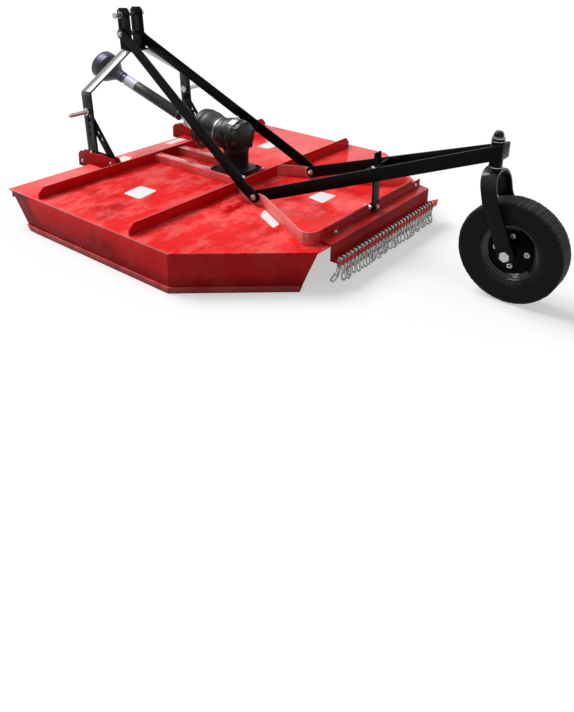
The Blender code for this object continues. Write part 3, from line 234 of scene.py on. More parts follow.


# Deck plate. One steel sheet, folded down along its front edge, in gloss red enamel that was sprayed
# over everything after welding: pale clouds that are a painted sheen, a slight orange peel, thin dust
# and a few fine rubs. Its edges are broken as cut and folded sheet has them, with a painted pale
# highlight along the long edges.

RED = (0.86, 0.020, 0.020, 1.0)
RED_DEEP = (0.40, 0.003, 0.006, 1.0)
RED_PALE = (0.90, 0.105, 0.100, 1.0)
# The dust colour also serves as a painted highlight on edges and lit faces.
DUST_AND_HIGHLIGHT = (0.86, 0.42, 0.40, 1.0)


def gloss_red(name, level, coat, deep, pale, dust_and_highlight):
    """Red with deeper and paler clouds. Level and coat are its shine; the three shares are those of the
    deep red, of the paler red and of the dust colour. The paler red is thin paint, and on the deck and
    the rails also a painted sheen. The dust colour is dust, and a painted highlight on the deck's long
    edges, the ribs' top edges, the rails and the fence's legs. Each share may depend on the place."""
    look = Look(name, Specular_IOR_Level=level, Coat_Roughness=0.05)
    deep, pale, dust_and_highlight = (share(look) if callable(share) else share for share in (deep, pale, dust_and_highlight))
    cloud = look.noise(3.2, 3.0)
    haze = look.noise(6.0, 5.0, 0.65, look.stretched((1.0, 1.7, 1.0))).ramp(0.44, 0.60)
    film = look.noise(30.0, 5.0, 0.72).ramp(0.55, 0.84)
    rubs = look.noise(1.0, 2.0, 0.5, look.stretched((520.0, 20.0, 90.0))).ramp(0.70, 0.80)
    tone = look.blend(cloud.ramp(0.30, 0.48) * (1 - deep), RED_DEEP, RED)
    tone = look.blend(haze * pale, tone, RED_PALE)
    look.feed("Base Color", look.blend((film * 0.10 + rubs * 0.08) * pale + dust_and_highlight, tone, DUST_AND_HIGHLIGHT))
    look.feed("Roughness", 0.10 + cloud * 0.10 + film * 0.12 + rubs * 0.10)
    look.feed("Coat Weight", coat - film * (0.4 * coat))
    peel = look.noise(170.0, 2.0, 0.5) * 0.4 + look.noise(11.0, 2.0, 0.5)
    return look.bump(peel, 0.16, 0.003)


def placed(name, mesh, look, body):
    """Puts a finished mesh on a body with its material."""
    piece = bpy.data.objects.new(name, mesh)
    bpy.context.scene.collection.objects.link(piece)
    mesh.materials.clear()
    mesh.materials.append(look.holder)
    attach(piece, body)
    return piece


def softened(node, look, edge, angle=28.0):
    """A copy of a solid, its triangles merged into faces and its edges broken by a narrow bevel."""
    mesh = nodes[node].data.copy()
    mesh.name = node + "_skin"
    work = bmesh.new()
    work.from_mesh(mesh)
    bmesh.ops.remove_doubles(work, verts=work.verts, dist=1e-5)
    bmesh.ops.dissolve_limit(work, angle_limit=math.radians(1.0), verts=work.verts, edges=work.edges)
    work.to_mesh(mesh)
    work.free()
    mesh.shade_smooth()
    piece = placed(node + "_skin", mesh, look, nodes[node]["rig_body"])
    bevel = piece.modifiers.new("edges", "BEVEL")
    bevel.width = edge
    bevel.segments = 2
    bevel.limit_method = "ANGLE"
    bevel.angle_limit = math.radians(angle)
    bevel.harden_normals = True
    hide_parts(node)
    return piece


DECK_TOP, DECK_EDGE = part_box("deck_plate")[1].z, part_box("deck_plate")[1].x
DECK_BEVEL = 0.0022
WEAR_FADES, WEAR_FULL = 0.0060, 0.0035                  # how far in from the edge
STRIP_FADES, STRIP_FULL = -0.24, -0.06                  # stations


def deck_painted_sheen(look):
    """Painted sheen: pale clouds, fewer of them towards the deck's right side."""
    return 0.85 - look.axis(0).ramp(0.05, 0.55) * 0.45


def deck_dust_and_edge_highlight(look):
    """Dust on the strip in front of the ribs, and a painted highlight along both long edges."""
    across = look.axis(0)
    # A painted highlight: a pale line along both long edges.
    edge = across.maths("ABSOLUTE", across).ramp(DECK_EDGE - WEAR_FADES, DECK_EDGE - WEAR_FULL)
    strip = look.axis(1).ramp(DECK_FRONT + STRIP_FADES, DECK_FRONT + STRIP_FULL)
    return strip * 0.21 + edge * 0.30


softened("deck_plate", gloss_red("red_enamel_deck", level=0.06, coat=0.0, deep=0.0, pale=deck_painted_sheen,
                                 dust_and_highlight=deck_dust_and_edge_highlight), DECK_BEVEL)


# Ribs across the deck. Two lengths of angle iron with clipped corners, welded along their feet.
# A painted highlight pales their top edges.

SHEET_EDGE = 0.0013
RIBS = ("front_rib", "rear_rib")
RIB_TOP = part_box("front_rib")[1].z


def rising(axis, low, high, most):
    """A share that rises with one coordinate, from 0 at low to most at high."""
    def share(look):
        return look.axis(axis).ramp(low, high) * most
    return share


# The pale top edges are a painted highlight.
rib_enamel = gloss_red("red_enamel", level=0.03, coat=0.0, deep=0.5, pale=0.05,
                       dust_and_highlight=rising(2, RIB_TOP - 0.0022, RIB_TOP - 0.0006, 0.5))
for node in RIBS:
    softened(node, rib_enamel, SHEET_EDGE)


# Gearbox rails. Two folded channels, open below, run from rib to rib and carry the gearbox. Their
# paint is the shiniest on the deck. Their whole red is painted paler, a painted highlight of their lit
# faces.

rail_enamel = gloss_red("red_enamel_rail", level=0.45, coat=0.35, deep=0.0, pale=1.0, dust_and_highlight=0.25)
for node in ("gearbox_rail_left", "gearbox_rail_right"):
    softened(node, rail_enamel, SHEET_EDGE)


# Hitch lugs. Two narrow steel channels are welded on the deck's front edge. The arch's upright and
# the brace are bolted between the two ears of each.

lug_enamel = gloss_red("red_enamel_deep", level=0.04, coat=0.0, deep=1.0, pale=0.05, dust_and_highlight=0.0)
for node in ("deck_lug_left", "deck_lug_right"):
    softened(node, lug_enamel, SHEET_EDGE)


# Side skirts. One bent steel sheet a side is welded under the deck's edge: the straight side and
# the rear chamfer. Painted shade deepens the red near the ground and on the bent front end.

NOSE_SETBACK = 0.154                                    # how far the front end slopes back
NOSE_SLOPE = NOSE_SETBACK / DECK_TOP


def skirt_shade(look):
    """Painted shade: deep red near the ground and in a band behind the front end's sloping edge. A fifth of
    the deep red lies everywhere.
    """
    behind_end = look.axis(2) * NOSE_SLOPE + (DECK_FRONT - NOSE_SETBACK) - look.axis(1)
    return look.axis(2).ramp(0.080, 0.032) * 0.75 + 0.2 + behind_end.ramp(0.125, 0.100) * 0.8


skirt_enamel = gloss_red("red_enamel_skirt", level=0.05, coat=0.0, deep=skirt_shade, pale=0.15, dust_and_highlight=0.0)
for node in ("side_skirt_left", "side_skirt_right"):
    softened(node, skirt_enamel, SHEET_EDGE)


# Runners. A steel strip is welded along each skirt's foot, for the mower to slide on. It is the
# dustiest and most scuffed of the red pieces.

runner_enamel = gloss_red("red_enamel_runner", level=0.10, coat=0.0, deep=0.85, pale=0.4, dust_and_highlight=0.14)
for node in ("runner_left", "runner_right"):
    softened(node, runner_enamel, SHEET_EDGE)


# Rear fence. One flat bar on edge, bent round the rear of the deck from rib to rib. The stays and
# the tail arms are bolted to its two legs, which are paler than its back: a painted highlight.

FENCE_BEND = DECK_FRONT - 1.445
softened("rear_fence", gloss_red("red_enamel_fence", level=0.10, coat=0.05, deep=0.3, pale=0.6,
                                 dust_and_highlight=rising(1, FENCE_BEND - 0.015, FENCE_BEND + 0.02, 0.42)),
         SHEET_EDGE)


# Chain guard. A folded steel sheet bolted on the fence, with a slotted shelf along its foot that
# carries the chains.

guard_enamel = gloss_red("red_enamel_guard", level=0.04, coat=0.0, deep=0.72, pale=0.15, dust_and_highlight=0.03)
softened("chain_guard", guard_enamel, SHEET_EDGE)


# Weld beads under the same paint. Arc welds run along the feet of the ribs, the rails and the
# lugs; each is a rounded seam with the scales that the welder's hand leaves.

def ringed(name, shapes, look, body, sharp=35.0):
    """One piece from arrays of rings. In each array every ring's points join the next ring's by quads.
    A flat face closes each end, unless the last ring repeats the first and the shape is a loop. The
    sign of the volume under its triangles tells whether a shape's faces have to be turned round."""
    points, faces, start = [], [], 0
    for rings in shapes:
        looped = np.allclose(rings[0], rings[-1])
        rings = rings[:-1] if looped else rings
        rows, columns = rings.shape[:2]
        index = np.arange(rows * columns).reshape(rows, columns)
        wide = np.hstack([index, index[:, :1]])
        wide = np.vstack([wide, wide[:1]]) if looped else wide
        quads = np.stack([wide[:-1, :-1], wide[:-1, 1:], wide[1:, 1:], wide[1:, :-1]], -1).reshape(-1, 4)
        flat = rings.reshape(-1, 3)
        triangles = [quads[:, [0, 1, 2]], quads[:, [0, 2, 3]]]
        ends = []
        if not looped:
            first, last = index[0][::-1], index[-1]
            ends = [first.tolist(), last.tolist()]
            triangles += [np.stack([np.full(columns - 2, e[0]), e[1:-1], e[2:]], -1) for e in (first, last)]
        a, b, c = flat[np.vstack(triangles)].transpose(1, 0, 2) - flat.mean(0)
        outward = np.einsum("ij,ij->", a, np.cross(b, c)) > 0
        both = quads.tolist() + ends
        faces += [[start + i for i in (face if outward else face[::-1])] for face in both]
        points.append(flat)
        start += rows * columns
    mesh = bpy.data.meshes.new(name)
    mesh.from_pydata(np.vstack(points).tolist(), [], faces)
    mesh.shade_smooth()
    mesh.set_sharp_from_angle(angle=math.radians(sharp))
    return placed(name, mesh, look, body)


def seam(first, last, size=0.0034, scales=0.004, columns=6):
    """Rings along a straight line: an oval section whose radius swells and shrinks by a sine once
    a scale, and tapers over one radius at each end."""
    first, last = np.asarray(first, float), np.asarray(last, float)
    total = np.linalg.norm(last - first)
    travel = np.linspace(0, total, max(int(total / scales) * 2, 8))
    tangent = (last - first) / total
    side = np.cross(tangent, (0.0, 0.0, 1.0))
    over = np.cross(side, tangent)
    swell = size * (1 + 0.16 * np.sin(travel * 2 * np.pi / scales))
    swell *= 0.35 + 0.65 * np.clip(np.minimum(travel, total - travel) / size, 0, 1)
    turn = np.arange(columns) / columns * 2 * np.pi
    round_ = np.cos(turn)[:, None] * side + np.sin(turn)[:, None] * over
    return first + travel[:, None, None] * tangent + swell[:, None, None] * round_


beads = []
for node in RIBS:
    low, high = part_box(node)
    beads.append(seam((low.x + 0.004, low.y, DECK_TOP), (high.x - 0.004, low.y, DECK_TOP)))
rail_low, rail_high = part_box("gearbox_rail_right")
lug_low, lug_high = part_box("deck_lug_right")
for side in (-1, 1):
    for x in (rail_low.x, rail_high.x):
        beads.append(seam((side * x, rail_low.y + 0.006, DECK_TOP),
                          (side * x, rail_high.y - 0.006, DECK_TOP)))
    beads.append(seam((side * lug_high.x, DECK_FRONT - 0.02, DECK_TOP),
                      (side * lug_high.x, lug_low.y + 0.01, DECK_TOP)))
ringed("weld_beads", beads, rib_enamel, "deck", 60.0)


# Blank label plates. Bare sheets of white film with round corners, pressed on the deck's paint and
# a little dusty.

def label_film():
    look = Look("label_film", Specular_IOR_Level=0.3)
    grime = look.noise(60.0, 4.0, 0.7).ramp(0.55, 0.80)
    look.feed("Base Color", look.blend(grime * 0.25, (0.78, 0.775, 0.76, 1.0), (0.60, 0.47, 0.44, 1.0)))
    look.feed("Roughness", 0.34 + grime * 0.2)
    return look.bump(look.noise(140.0, 2.0), 0.10, 0.001)


def sheet_label(corners, lift, corner_share=0.12, steps=5):
    """Rings of a thin plate over four corners. Its outline is the four sides joined by quarter circles,
    mapped into the quadrilateral by two straight blends; lift is its thickness along its normal."""
    corners = np.asarray(corners, float)
    turn = np.linspace(0, np.pi / 2, steps)
    c, s = np.cos(turn), np.sin(turn)
    k = corner_share
    u = np.concatenate([1 - k + k * c, k - k * s, k - k * c, 1 - k + k * s])
    v = np.concatenate([1 - k + k * s, 1 - k + k * c, k - k * s, k - k * c])
    u, v = u[:, None], v[:, None]
    flat = ((1 - u) * (1 - v) * corners[0] + u * (1 - v) * corners[1]
            + u * v * corners[2] + (1 - u) * v * corners[3])
    normal = np.cross(corners[1] - corners[0], corners[3] - corners[0])
    normal /= np.linalg.norm(normal)
    return np.stack([flat, flat + normal * lift])


LABEL_THICKNESS = 0.0006
white_film = label_film()
DECK_LABELS = (     # four corners each: x and station
    ((-0.509, -0.563), (-0.384, -0.544), (-0.395, -0.437), (-0.510, -0.453)),
    ((0.006, -1.133), (-0.012, -1.227), (0.106, -1.222), (0.100, -1.139)),
    ((-0.214, -0.124), (-0.137, -0.077), (-0.156, -0.022), (-0.229, -0.067)),
    ((0.148, -0.065), (0.288, -0.066), (0.263, -0.014), (0.140, -0.030)),
    ((0.448, -0.532), (0.560, -0.540), (0.560, -0.455), (0.440, -0.455)),
    ((-0.303, -1.103), (-0.367, -1.228), (-0.320, -1.224), (-0.238, -1.074)),
)
plates = [sheet_label([(x, DECK_FRONT + station, DECK_TOP) for x, station in corners], LABEL_THICKNESS)
          for corners in DECK_LABELS]
ringed("deck_labels", plates, white_film, "deck")


# Cast gearbox. Iron casting in black enamel: a base flange bolted to the rails, a column, and a
# barrel along the input shaft with a machined cap at each end, a filler plug and a blank plate.

def cast_iron():
    """Rough black iron, with a little shine above the column."""
    look = Look("cast_iron", Specular_IOR_Level=0.15, Coat_Roughness=0.25)
    grain = look.noise(240.0, 4.0, 0.65)
    worn = look.noise(22.0, 5.0, 0.7).ramp(0.62, 0.85)
    look.feed("Base Color", look.blend(worn * 0.5, (0.005, 0.005, 0.0055, 1.0), (0.040, 0.038, 0.036, 1.0)))
    look.feed("Roughness", 0.42 + grain * 0.16)
    look.feed("Coat Weight", rising(2, 0.34, 0.42, 0.30)(look))
    return look.bump(grain + look.noise(40.0, 3.0) * 0.8, 0.35, 0.0016)


def bright_zinc():
    look = Look("bright_zinc", Metallic=1.0)
    spangle = look.cells(420.0)
    dull = look.noise(90.0, 4.0).ramp(0.45, 0.80)
    look.feed("Base Color", look.blend(dull * 0.6, (0.46, 0.455, 0.44, 1.0), (0.22, 0.215, 0.20, 1.0)))
    look.feed("Roughness", 0.30 + dull * 0.20 + spangle * 0.10)
    return look.bump(spangle + dull, 0.10, 0.0008)


def axes(along):
    """Two unit vectors at right angles to a direction and to each other."""
    along = np.asarray(along, float) / np.linalg.norm(along)
    side = np.cross(along, (0.0, 0.0, 1.0) if abs(along[2]) < 0.9 else (0.0, 1.0, 0.0))
    side /= np.linalg.norm(side)
    return side, np.cross(side, along)


def lathe(profile, spot, along, steps=48, start=0.0):
    """Rings round an axis: each (distance, radius) of the profile is a circle that far along it."""
    profile = np.asarray(profile, float)
    along = np.asarray(along, float) / np.linalg.norm(along)
    side, over = axes(along)
    turn = start + np.arange(steps) / steps * 2 * np.pi
    round_ = np.cos(turn)[:, None] * side + np.sin(turn)[:, None] * over
    return np.asarray(spot, float) + profile[:, :1, None] * along + profile[:, 1:, None] * round_[None]


def hex_bolt(spot, along, size, washer=1.12, turn=0.0):
    """Rings of a bolt's head on its washer, or on none at washer 0: a six sided head with a
    chamfered crown and a low dome."""
    wide, tall = size * 0.90, size * 0.62
    under = size * 0.20 if washer else 0.0
    head = lathe([(under, wide * 0.97), (under + 0.001, wide), (under + tall * 0.8, wide),
                  (under + tall, wide * 0.84)], spot, along, 6, turn)
    crown = lathe([(under + tall - 0.001, wide * 0.72), (under + tall + 0.0006, wide * 0.66)],
                  spot, along, 12)
    ring = lathe([(-0.0002, size * washer), (under, size * washer)], spot, along, 20)
    return [head, crown] + ([ring] if washer else [])


iron = cast_iron()
zinc = bright_zinc()
softened("gearbox_base", iron, 0.0016)
low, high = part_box("gearbox_housing")
AXIS_HEIGHT = 0.378                                     # of the input shaft
GEARBOX_Y = DECK_FRONT - 0.695                          # of the column
COLUMN, BARREL = 0.061, high.x                          # radii
CAP_BOLTS, CAP_BOLT_TURN = 6, 0.26
CAP_BOLT_CIRCLE = BARREL - 0.012
column = [(low.z, COLUMN + 0.005), (low.z + 0.003, COLUMN + 0.0045), (low.z + 0.008, COLUMN + 0.001),
          (low.z + 0.014, COLUMN), (0.300, COLUMN), (0.303, COLUMN + 0.002), (0.311, COLUMN + 0.002),
          (0.314, COLUMN), (AXIS_HEIGHT, COLUMN)]
length = high.y - low.y
rear_cap = [(0, 0.048), (0.002, 0.054), (0.004, 0.058), (0.0055, BARREL - 0.018), (0.009, BARREL - 0.0075),
            (0.029, BARREL - 0.006), (0.034, BARREL - 0.001), (0.037, BARREL)]
groove = [(0.058, BARREL), (0.061, BARREL - 0.0015), (0.066, BARREL - 0.0015), (0.069, BARREL)]
front_cap = [(length - 0.025, BARREL), (length - 0.021, BARREL - 0.004), (length - 0.018, BARREL - 0.006),
             (length - 0.001, BARREL - 0.006), (length, BARREL - 0.007)]
casting = [lathe(column, (0, GEARBOX_Y, 0), (0, 0, 1), 64),
           lathe(rear_cap + groove + front_cap, (0, low.y, AXIS_HEIGHT), (0, 1, 0), 72)]
for angle in CAP_BOLT_TURN + np.arange(CAP_BOLTS) / CAP_BOLTS * 2 * np.pi:
    spot = np.array([CAP_BOLT_CIRCLE * np.cos(angle), low.y, AXIS_HEIGHT + CAP_BOLT_CIRCLE * np.sin(angle)])
    casting.append(lathe([(0.004, 0.0085), (0.006, 0.0100), (0.034, 0.0100)], spot, (0, 1, 0), 14))
    casting += hex_bolt(spot + np.array([0, 0.0042, 0]), (0, -1, 0), 0.0062, 0)
base_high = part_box("gearbox_base")[1]
BASE_BOLT_OUT = base_high.x - 0.016
# The flange's bolts are black like the casting, a painted shade for the shadow they stand in.
for x in (-BASE_BOLT_OUT, BASE_BOLT_OUT):
    for y in (GEARBOX_Y - BASE_BOLT_OUT, GEARBOX_Y + BASE_BOLT_OUT):
        casting += hex_bolt((x, y, base_high.z), (0, 0, 1), 0.0085)
skin = ringed("gearbox_casting", casting, iron, "deck")
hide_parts("gearbox_housing")

plug_spot = (0, GEARBOX_Y - 0.010, high.z - 0.003)
plug = lathe([(0, 0.011), (0.006, 0.011), (0.006, 0.008), (0.012, 0.008)], plug_spot, (0, 0, 1), 6)
breather = lathe([(0.010, 0.0045), (0.014, 0.0045), (0.015, 0.0065), (0.019, 0.006), (0.0205, 0.003)],
                 plug_spot, (0, 0, 1), 16)
ringed("gearbox_plug", [plug, breather], zinc, "deck")


def wrapped(spot, along, radius, length, first, last, thickness=0.0007, steps=14):
    """Rings of a thin plate bent round an axis, from one angle to another: an outer and an inner arc
    in each ring, carried along the axis."""
    side, over = axes(along)
    turn = np.linspace(first, last, steps)
    arc = np.cos(turn)[:, None] * side + np.sin(turn)[:, None] * over
    loop = np.vstack([arc * (radius + thickness), (arc * radius)[::-1]])
    travel = np.linspace(0, length, 4)[:, None, None]
    return np.asarray(spot, float) + loop[None] + travel * np.asarray(along, float)


PLATE_ANGLE, PLATE_HALF_ANGLE = math.radians(111), 0.24
PLATE_FROM, PLATE_LENGTH = 0.0345, 0.036                # along the barrel from its rear
ringed("gearbox_plate", [wrapped((0, low.y + PLATE_FROM, AXIS_HEIGHT), (0, 1, 0), BARREL - 0.0002,
                                 PLATE_LENGTH, PLATE_ANGLE - PLATE_HALF_ANGLE,
                                 PLATE_ANGLE + PLATE_HALF_ANGLE, 0.0010)], white_film, "deck")


# Guards of black polythene: the shield round the gearbox's input, and the sliding tubes with their
# bell over the driveline. Blown and turned smooth, with moulding rings and a matt skin. A plated
# clamp holds the shield on the gearbox.

def guard_plastic():
    look = Look("guard_plastic", Specular_IOR_Level=0.35)
    cloud = look.noise(26.0, 4.0, 0.6)
    scuff = look.noise(1.0, 4.0, 0.65, look.stretched((90.0, 14.0, 90.0))).ramp(0.62, 0.85)
    look.feed("Base Color", look.blend(scuff * 0.5, (0.014, 0.015, 0.018, 1.0), (0.055, 0.056, 0.062, 1.0)))
    look.feed("Roughness", 0.34 + cloud * 0.14 + scuff * 0.16)
    return look.bump(look.noise(420.0, 2.0) + cloud, 0.16, 0.001)


def eased(t):
    """A smooth rise from 0 to 1 that is level at both ends: three t squared less two t cubed."""
    return t * t * (3 - 2 * t)


plastic = guard_plastic()
low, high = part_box("input_shield")
length = high.y - low.y
NECK, BODY, MOUTH = 0.074, 0.093, high.x                # outer radii
SHIELD_WALL, SHAFT_HOLE = 0.004, 0.030
shield = [(0, SHAFT_HOLE), (0, NECK - 0.003), (0.002, NECK), (0.030, NECK)]
shield += [(0.032 + 0.062 * t, NECK + (BODY - NECK) * (0.5 * t + 0.5 * eased(t)))
           for t in np.linspace(0.05, 1, 9)]
shield += [(length - 0.036, BODY), (length - 0.032, MOUTH - 0.003), (length - 0.028, MOUTH - 0.0005),
           (length - 0.025, MOUTH), (length - 0.014, MOUTH), (length - 0.012, MOUTH - 0.001),
           (length - 0.009, MOUTH - 0.001), (length - 0.007, MOUTH), (length - 0.001, MOUTH),
           (length, MOUTH - 0.001), (length, MOUTH - SHIELD_WALL), (length - 0.025, MOUTH - SHIELD_WALL),
           (length - 0.034, BODY - SHIELD_WALL), (0.095, BODY - SHIELD_WALL), (0.034, NECK - SHIELD_WALL),
           (SHIELD_WALL, NECK - SHIELD_WALL), (SHIELD_WALL, SHAFT_HOLE), (0, SHAFT_HOLE)]
shield_spot = (0, low.y, AXIS_HEIGHT)
skin = ringed("shield_skin", [lathe(shield, shield_spot, (0, 1, 0), 96)], plastic, "deck",
              28.0)
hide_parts("input_shield")
clamp = [(0.0240, NECK + 0.0001), (0.0240, NECK + 0.0009), (0.0275, NECK + 0.0009), (0.0275, NECK + 0.0001),
         (0.0240, NECK + 0.0001)]
ringed("shield_clamp", [lathe(clamp, shield_spot, (0, 1, 0), 96)], zinc, "deck")

JOINT = np.array([0.0, DECK_FRONT - 0.425, AXIS_HEIGHT])
RISE = math.radians(17.0)
ALONG = np.array([0.0, math.cos(RISE), math.sin(RISE)])
TUBE, TUBE_BORE, SHAFT = 0.029, 0.026, 0.0128           # radii
rear_tube = [(0.115, SHAFT), (0.115, TUBE - 0.002), (0.117, TUBE), (0.126, TUBE), (0.128, TUBE - 0.001),
             (0.134, TUBE - 0.001), (0.136, TUBE), (0.536, TUBE), (0.540, TUBE - 0.001), (0.540, TUBE_BORE),
             (0.127, TUBE_BORE), (0.127, SHAFT), (0.115, SHAFT)]
skin = ringed("tube_skin", [lathe(rear_tube, JOINT, ALONG, 64)], plastic, "driveline")
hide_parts("driveline_tube")
BELL = 0.078
FRONT_TUBE = TUBE_BORE - 0.0005
FLARE_FROM, FLARE_LENGTH = 0.600, 0.094                 # along the driveline from the joint
collar = TUBE + 0.002
bell = [(0.330, FRONT_TUBE - 0.003), (0.330, FRONT_TUBE), (0.570, FRONT_TUBE), (0.574, TUBE),
        (0.598, TUBE + 0.0018)]
bell += [(FLARE_FROM + FLARE_LENGTH * t, collar + (BELL - collar) * (0.6 * t ** 1.7 + 0.4 * eased(t)))
         for t in np.linspace(0, 1, 13)]
bell += [(0.740, BELL), (0.7415, BELL - 0.0012), (0.7445, BELL - 0.0012), (0.746, BELL), (0.749, BELL),
         (0.750, BELL - 0.001), (0.750, BELL - 0.004), (0.696, BELL - 0.004), (0.668, BELL - 0.016),
         (0.612, TUBE - 0.004), (0.612, SHAFT), (0.600, SHAFT), (0.600, FRONT_TUBE - 0.003),
         (0.330, FRONT_TUBE - 0.003)]
skin = ringed("bell_skin", [lathe(bell, JOINT, ALONG, 80)], plastic, "driveline_front",
              40.0)
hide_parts("driveline_bell")


# Blank bands on the guards. White film is wrapped round the rear tube's front end, violet film round
# the front tube beside it and the bell's collar, and a blue patch is pressed on the bell.

def tinted_film(name, tint):
    look = Look(name, Specular_IOR_Level=0.4)
    worn = look.noise(50.0, 4.0, 0.7).ramp(0.5, 0.8)
    look.feed("Base Color", look.blend(worn * 0.4, tint, tuple(0.5 * t + 0.03 for t in tint[:3]) + (1.0,)))
    look.feed("Roughness", 0.32 + worn * 0.2)
    return look


def band(start, length, radius, thickness):
    """Rings of a film round the driveline, with a fine gap where its ends meet."""
    return wrapped(JOINT + ALONG * start, ALONG, radius, length, 0.0, 2 * np.pi - 0.02, thickness, 48)


ringed("tube_label", [band(0.457, 0.080, TUBE, 0.0006)], tinted_film("pale_film", (0.70, 0.75, 0.90, 1.0)),
       "driveline")
ringed("tube_tint", [band(0.542, 0.0275, FRONT_TUBE - 0.0001, 0.0003),
                     band(0.5745, 0.010, TUBE + 0.0009, 0.0003)],
       tinted_film("violet_film", (0.045, 0.035, 0.12, 1.0)), "driveline_front")
PATCH_FROM, PATCH_LENGTH, PATCH_ANGLES = 0.6945, 0.038, (1.84, 2.58)
ringed("bell_label", [wrapped(JOINT + ALONG * PATCH_FROM, ALONG, BELL, PATCH_LENGTH, *PATCH_ANGLES)],
       tinted_film("blue_film", (0.050, 0.062, 0.20, 1.0)), "driveline_front")


# Universal joints, shafts and hitch pins. Forged and turned steel, zinc plated, with their edges
# rounded by the die and the plating.

ROUND_ANGLE = 42.0                                      # a round piece's facets meet under this angle
for node in ("input_yoke", "rear_cross", "driveline_yoke", "front_shaft_yoke", "front_cross", "pto_yoke",
             "lower_hitch_pin_left", "lower_hitch_pin_right", "top_link_pin", "mast_spacer", "axle_bolt"):
    softened(node, zinc, 0.0010, ROUND_ANGLE)


# Hitch arch, mast, stays, braces, tail arms, post and caster fork. Flat bar, sheared, bent and
# drilled, in black enamel: sharp bright edges, the mill's long marks under the paint, and
# small rubbed spots. The arch's bent top and the fork's crown face the sky and shine most.

def gloss_black(name, level, coat, blur=0.07):
    """Black paint. Level and coat are its shine, and blur is how far the coat spreads what it
    mirrors. The coat lies on rubbed spots alone, or where its share of the place says."""
    look = Look(name, Specular_IOR_Level=level, Coat_Roughness=blur)
    cloud = look.noise(14.0, 4.0)
    scuff = look.noise(60.0, 6.0, 0.75).ramp(0.66, 0.84)
    look.feed("Base Color", look.blend(scuff * 0.4, (0.003, 0.003, 0.0033, 1.0),
                                       (0.026, 0.025, 0.024, 1.0)))
    look.feed("Roughness", 0.24 + cloud * 0.12 + scuff * 0.16)
    look.feed("Coat Weight", coat(look) if callable(coat) else scuff * coat)
    grain = look.noise(1.0, 3.0, 0.6, look.stretched((40.0, 40.0, 200.0)))
    return look.bump(grain + look.noise(210.0, 2.0) * 0.5, 0.12, 0.0016)


BAR_EDGE = 0.0017
FORK_EDGE = 0.0014
ARCH_BEND = 0.520                                       # height of the arch's lower bends
black_enamel = gloss_black("black_enamel", 0.06, 0.05)
arch_enamel = gloss_black("black_enamel_arch", 0.20, rising(2, ARCH_BEND, ARCH_BEND + 0.03, 1.0), 0.22)
softened("hitch_arch", arch_enamel, BAR_EDGE)
for node in ("hitch_brace_left", "hitch_brace_right", "mast_plate_left", "mast_plate_right",
             "mast_stay_left", "mast_stay_right", "tail_arm_left", "tail_arm_right", "arm_crossbar",
             "tail_post", "spindle_collar"):
    softened(node, black_enamel, BAR_EDGE)
softened("caster_hub", black_enamel, FORK_EDGE, ROUND_ANGLE)
softened("caster_fork", gloss_black("black_enamel_fork", 0.10, rising(2, 0.43, 0.49, 0.35)),
         FORK_EDGE, ROUND_ANGLE)


# Bolts of the hitch and the tail, each with its washer and, on the far side, its nut and a few
# threads of the bolt's end. Most are zinc plated. Those of the arch's uprights and of the
# crossbar were fitted before the spraying and are black.

def nut_end(spot, along, size, stick_out=0.008, turn=0.3):
    """Rings of a nut on its washer with the bolt's threaded end, whose ridges are rings."""
    ridges = [(size * 0.9 + i * 0.0011, size * (0.50 if i % 2 else 0.46))
              for i in range(int(stick_out / 0.0011))]
    thread = lathe(ridges + [(ridges[-1][0] + 0.001, size * 0.40)], spot, along, 12)
    return hex_bolt(spot, along, size, 1.12, turn)[::2] + [thread]


def hitch_spot(x, forward_by, rise):
    """A point of the leaning hitch: across, forward of the arch's middle plane and up the arch."""
    return np.array([x, HITCH_FOOT[1] + forward_by * math.cos(LEAN) + rise * math.sin(LEAN),
                     HITCH_FOOT[2] - forward_by * math.sin(LEAN) + rise * math.cos(LEAN)])


HITCH_FOOT = np.array([0.0, DECK_FRONT - 0.022, 0.238])
LEAN = math.radians(4.5)
M14, M10, M8 = 0.0130, 0.0095, 0.0080                   # sizes of the bolts' heads
LUG_X, ARCH_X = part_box("deck_lug_right")[1].x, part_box("hitch_arch")[1].x
STAY_FOOT_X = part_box("mast_stay_right")[1].x
ARM_FOOT_X = STAY_FOOT_X - 0.0266                       # inner side of the tail arm's foot
UPRIGHT_GRIP = 0.0185                                   # the arch and the brace together
LUG_BOLTS = ((-0.022, 0.238), (-0.172, 0.210), (0.057, 0.176))      # station and height
FOOT_STATION, FOOT_HEIGHT = -1.003, 0.205
UPRIGHT_BOLT_HEIGHT = 0.400
hardware, painted = [], []
for side in (-1, 1):
    out, inward = (side, 0, 0), (-side, 0, 0)
    foot = (DECK_FRONT + FOOT_STATION, FOOT_HEIGHT)
    hardware += hex_bolt((side * STAY_FOOT_X, *foot), out, M14, turn=0.4)
    hardware += nut_end((side * ARM_FOOT_X, *foot), inward, M14)
    for station, z in LUG_BOLTS:
        hardware += hex_bolt((side * LUG_X, DECK_FRONT + station, z), out, M8, turn=0.2 + station)
    painted += hex_bolt((side * ARCH_X, DECK_FRONT - 0.008, UPRIGHT_BOLT_HEIGHT), out, M8, turn=0.1)
    painted += nut_end((side * (ARCH_X - UPRIGHT_GRIP), DECK_FRONT - 0.016, UPRIGHT_BOLT_HEIGHT), inward, M8)
    stay_bolt = hitch_spot(side * 0.0603, 0.032, 0.5623)
    hardware += (hex_bolt if side < 0 else nut_end)(stay_bolt, out, M14, turn=0.5)
post_low, post_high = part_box("tail_post")
flange_y = post_high.y + 0.0003
crossbar_rear, fence_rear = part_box("arm_crossbar")[0].y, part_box("rear_fence")[0].y
CLAMP_HEIGHT = 0.3785                                   # of the two bolts beside the post
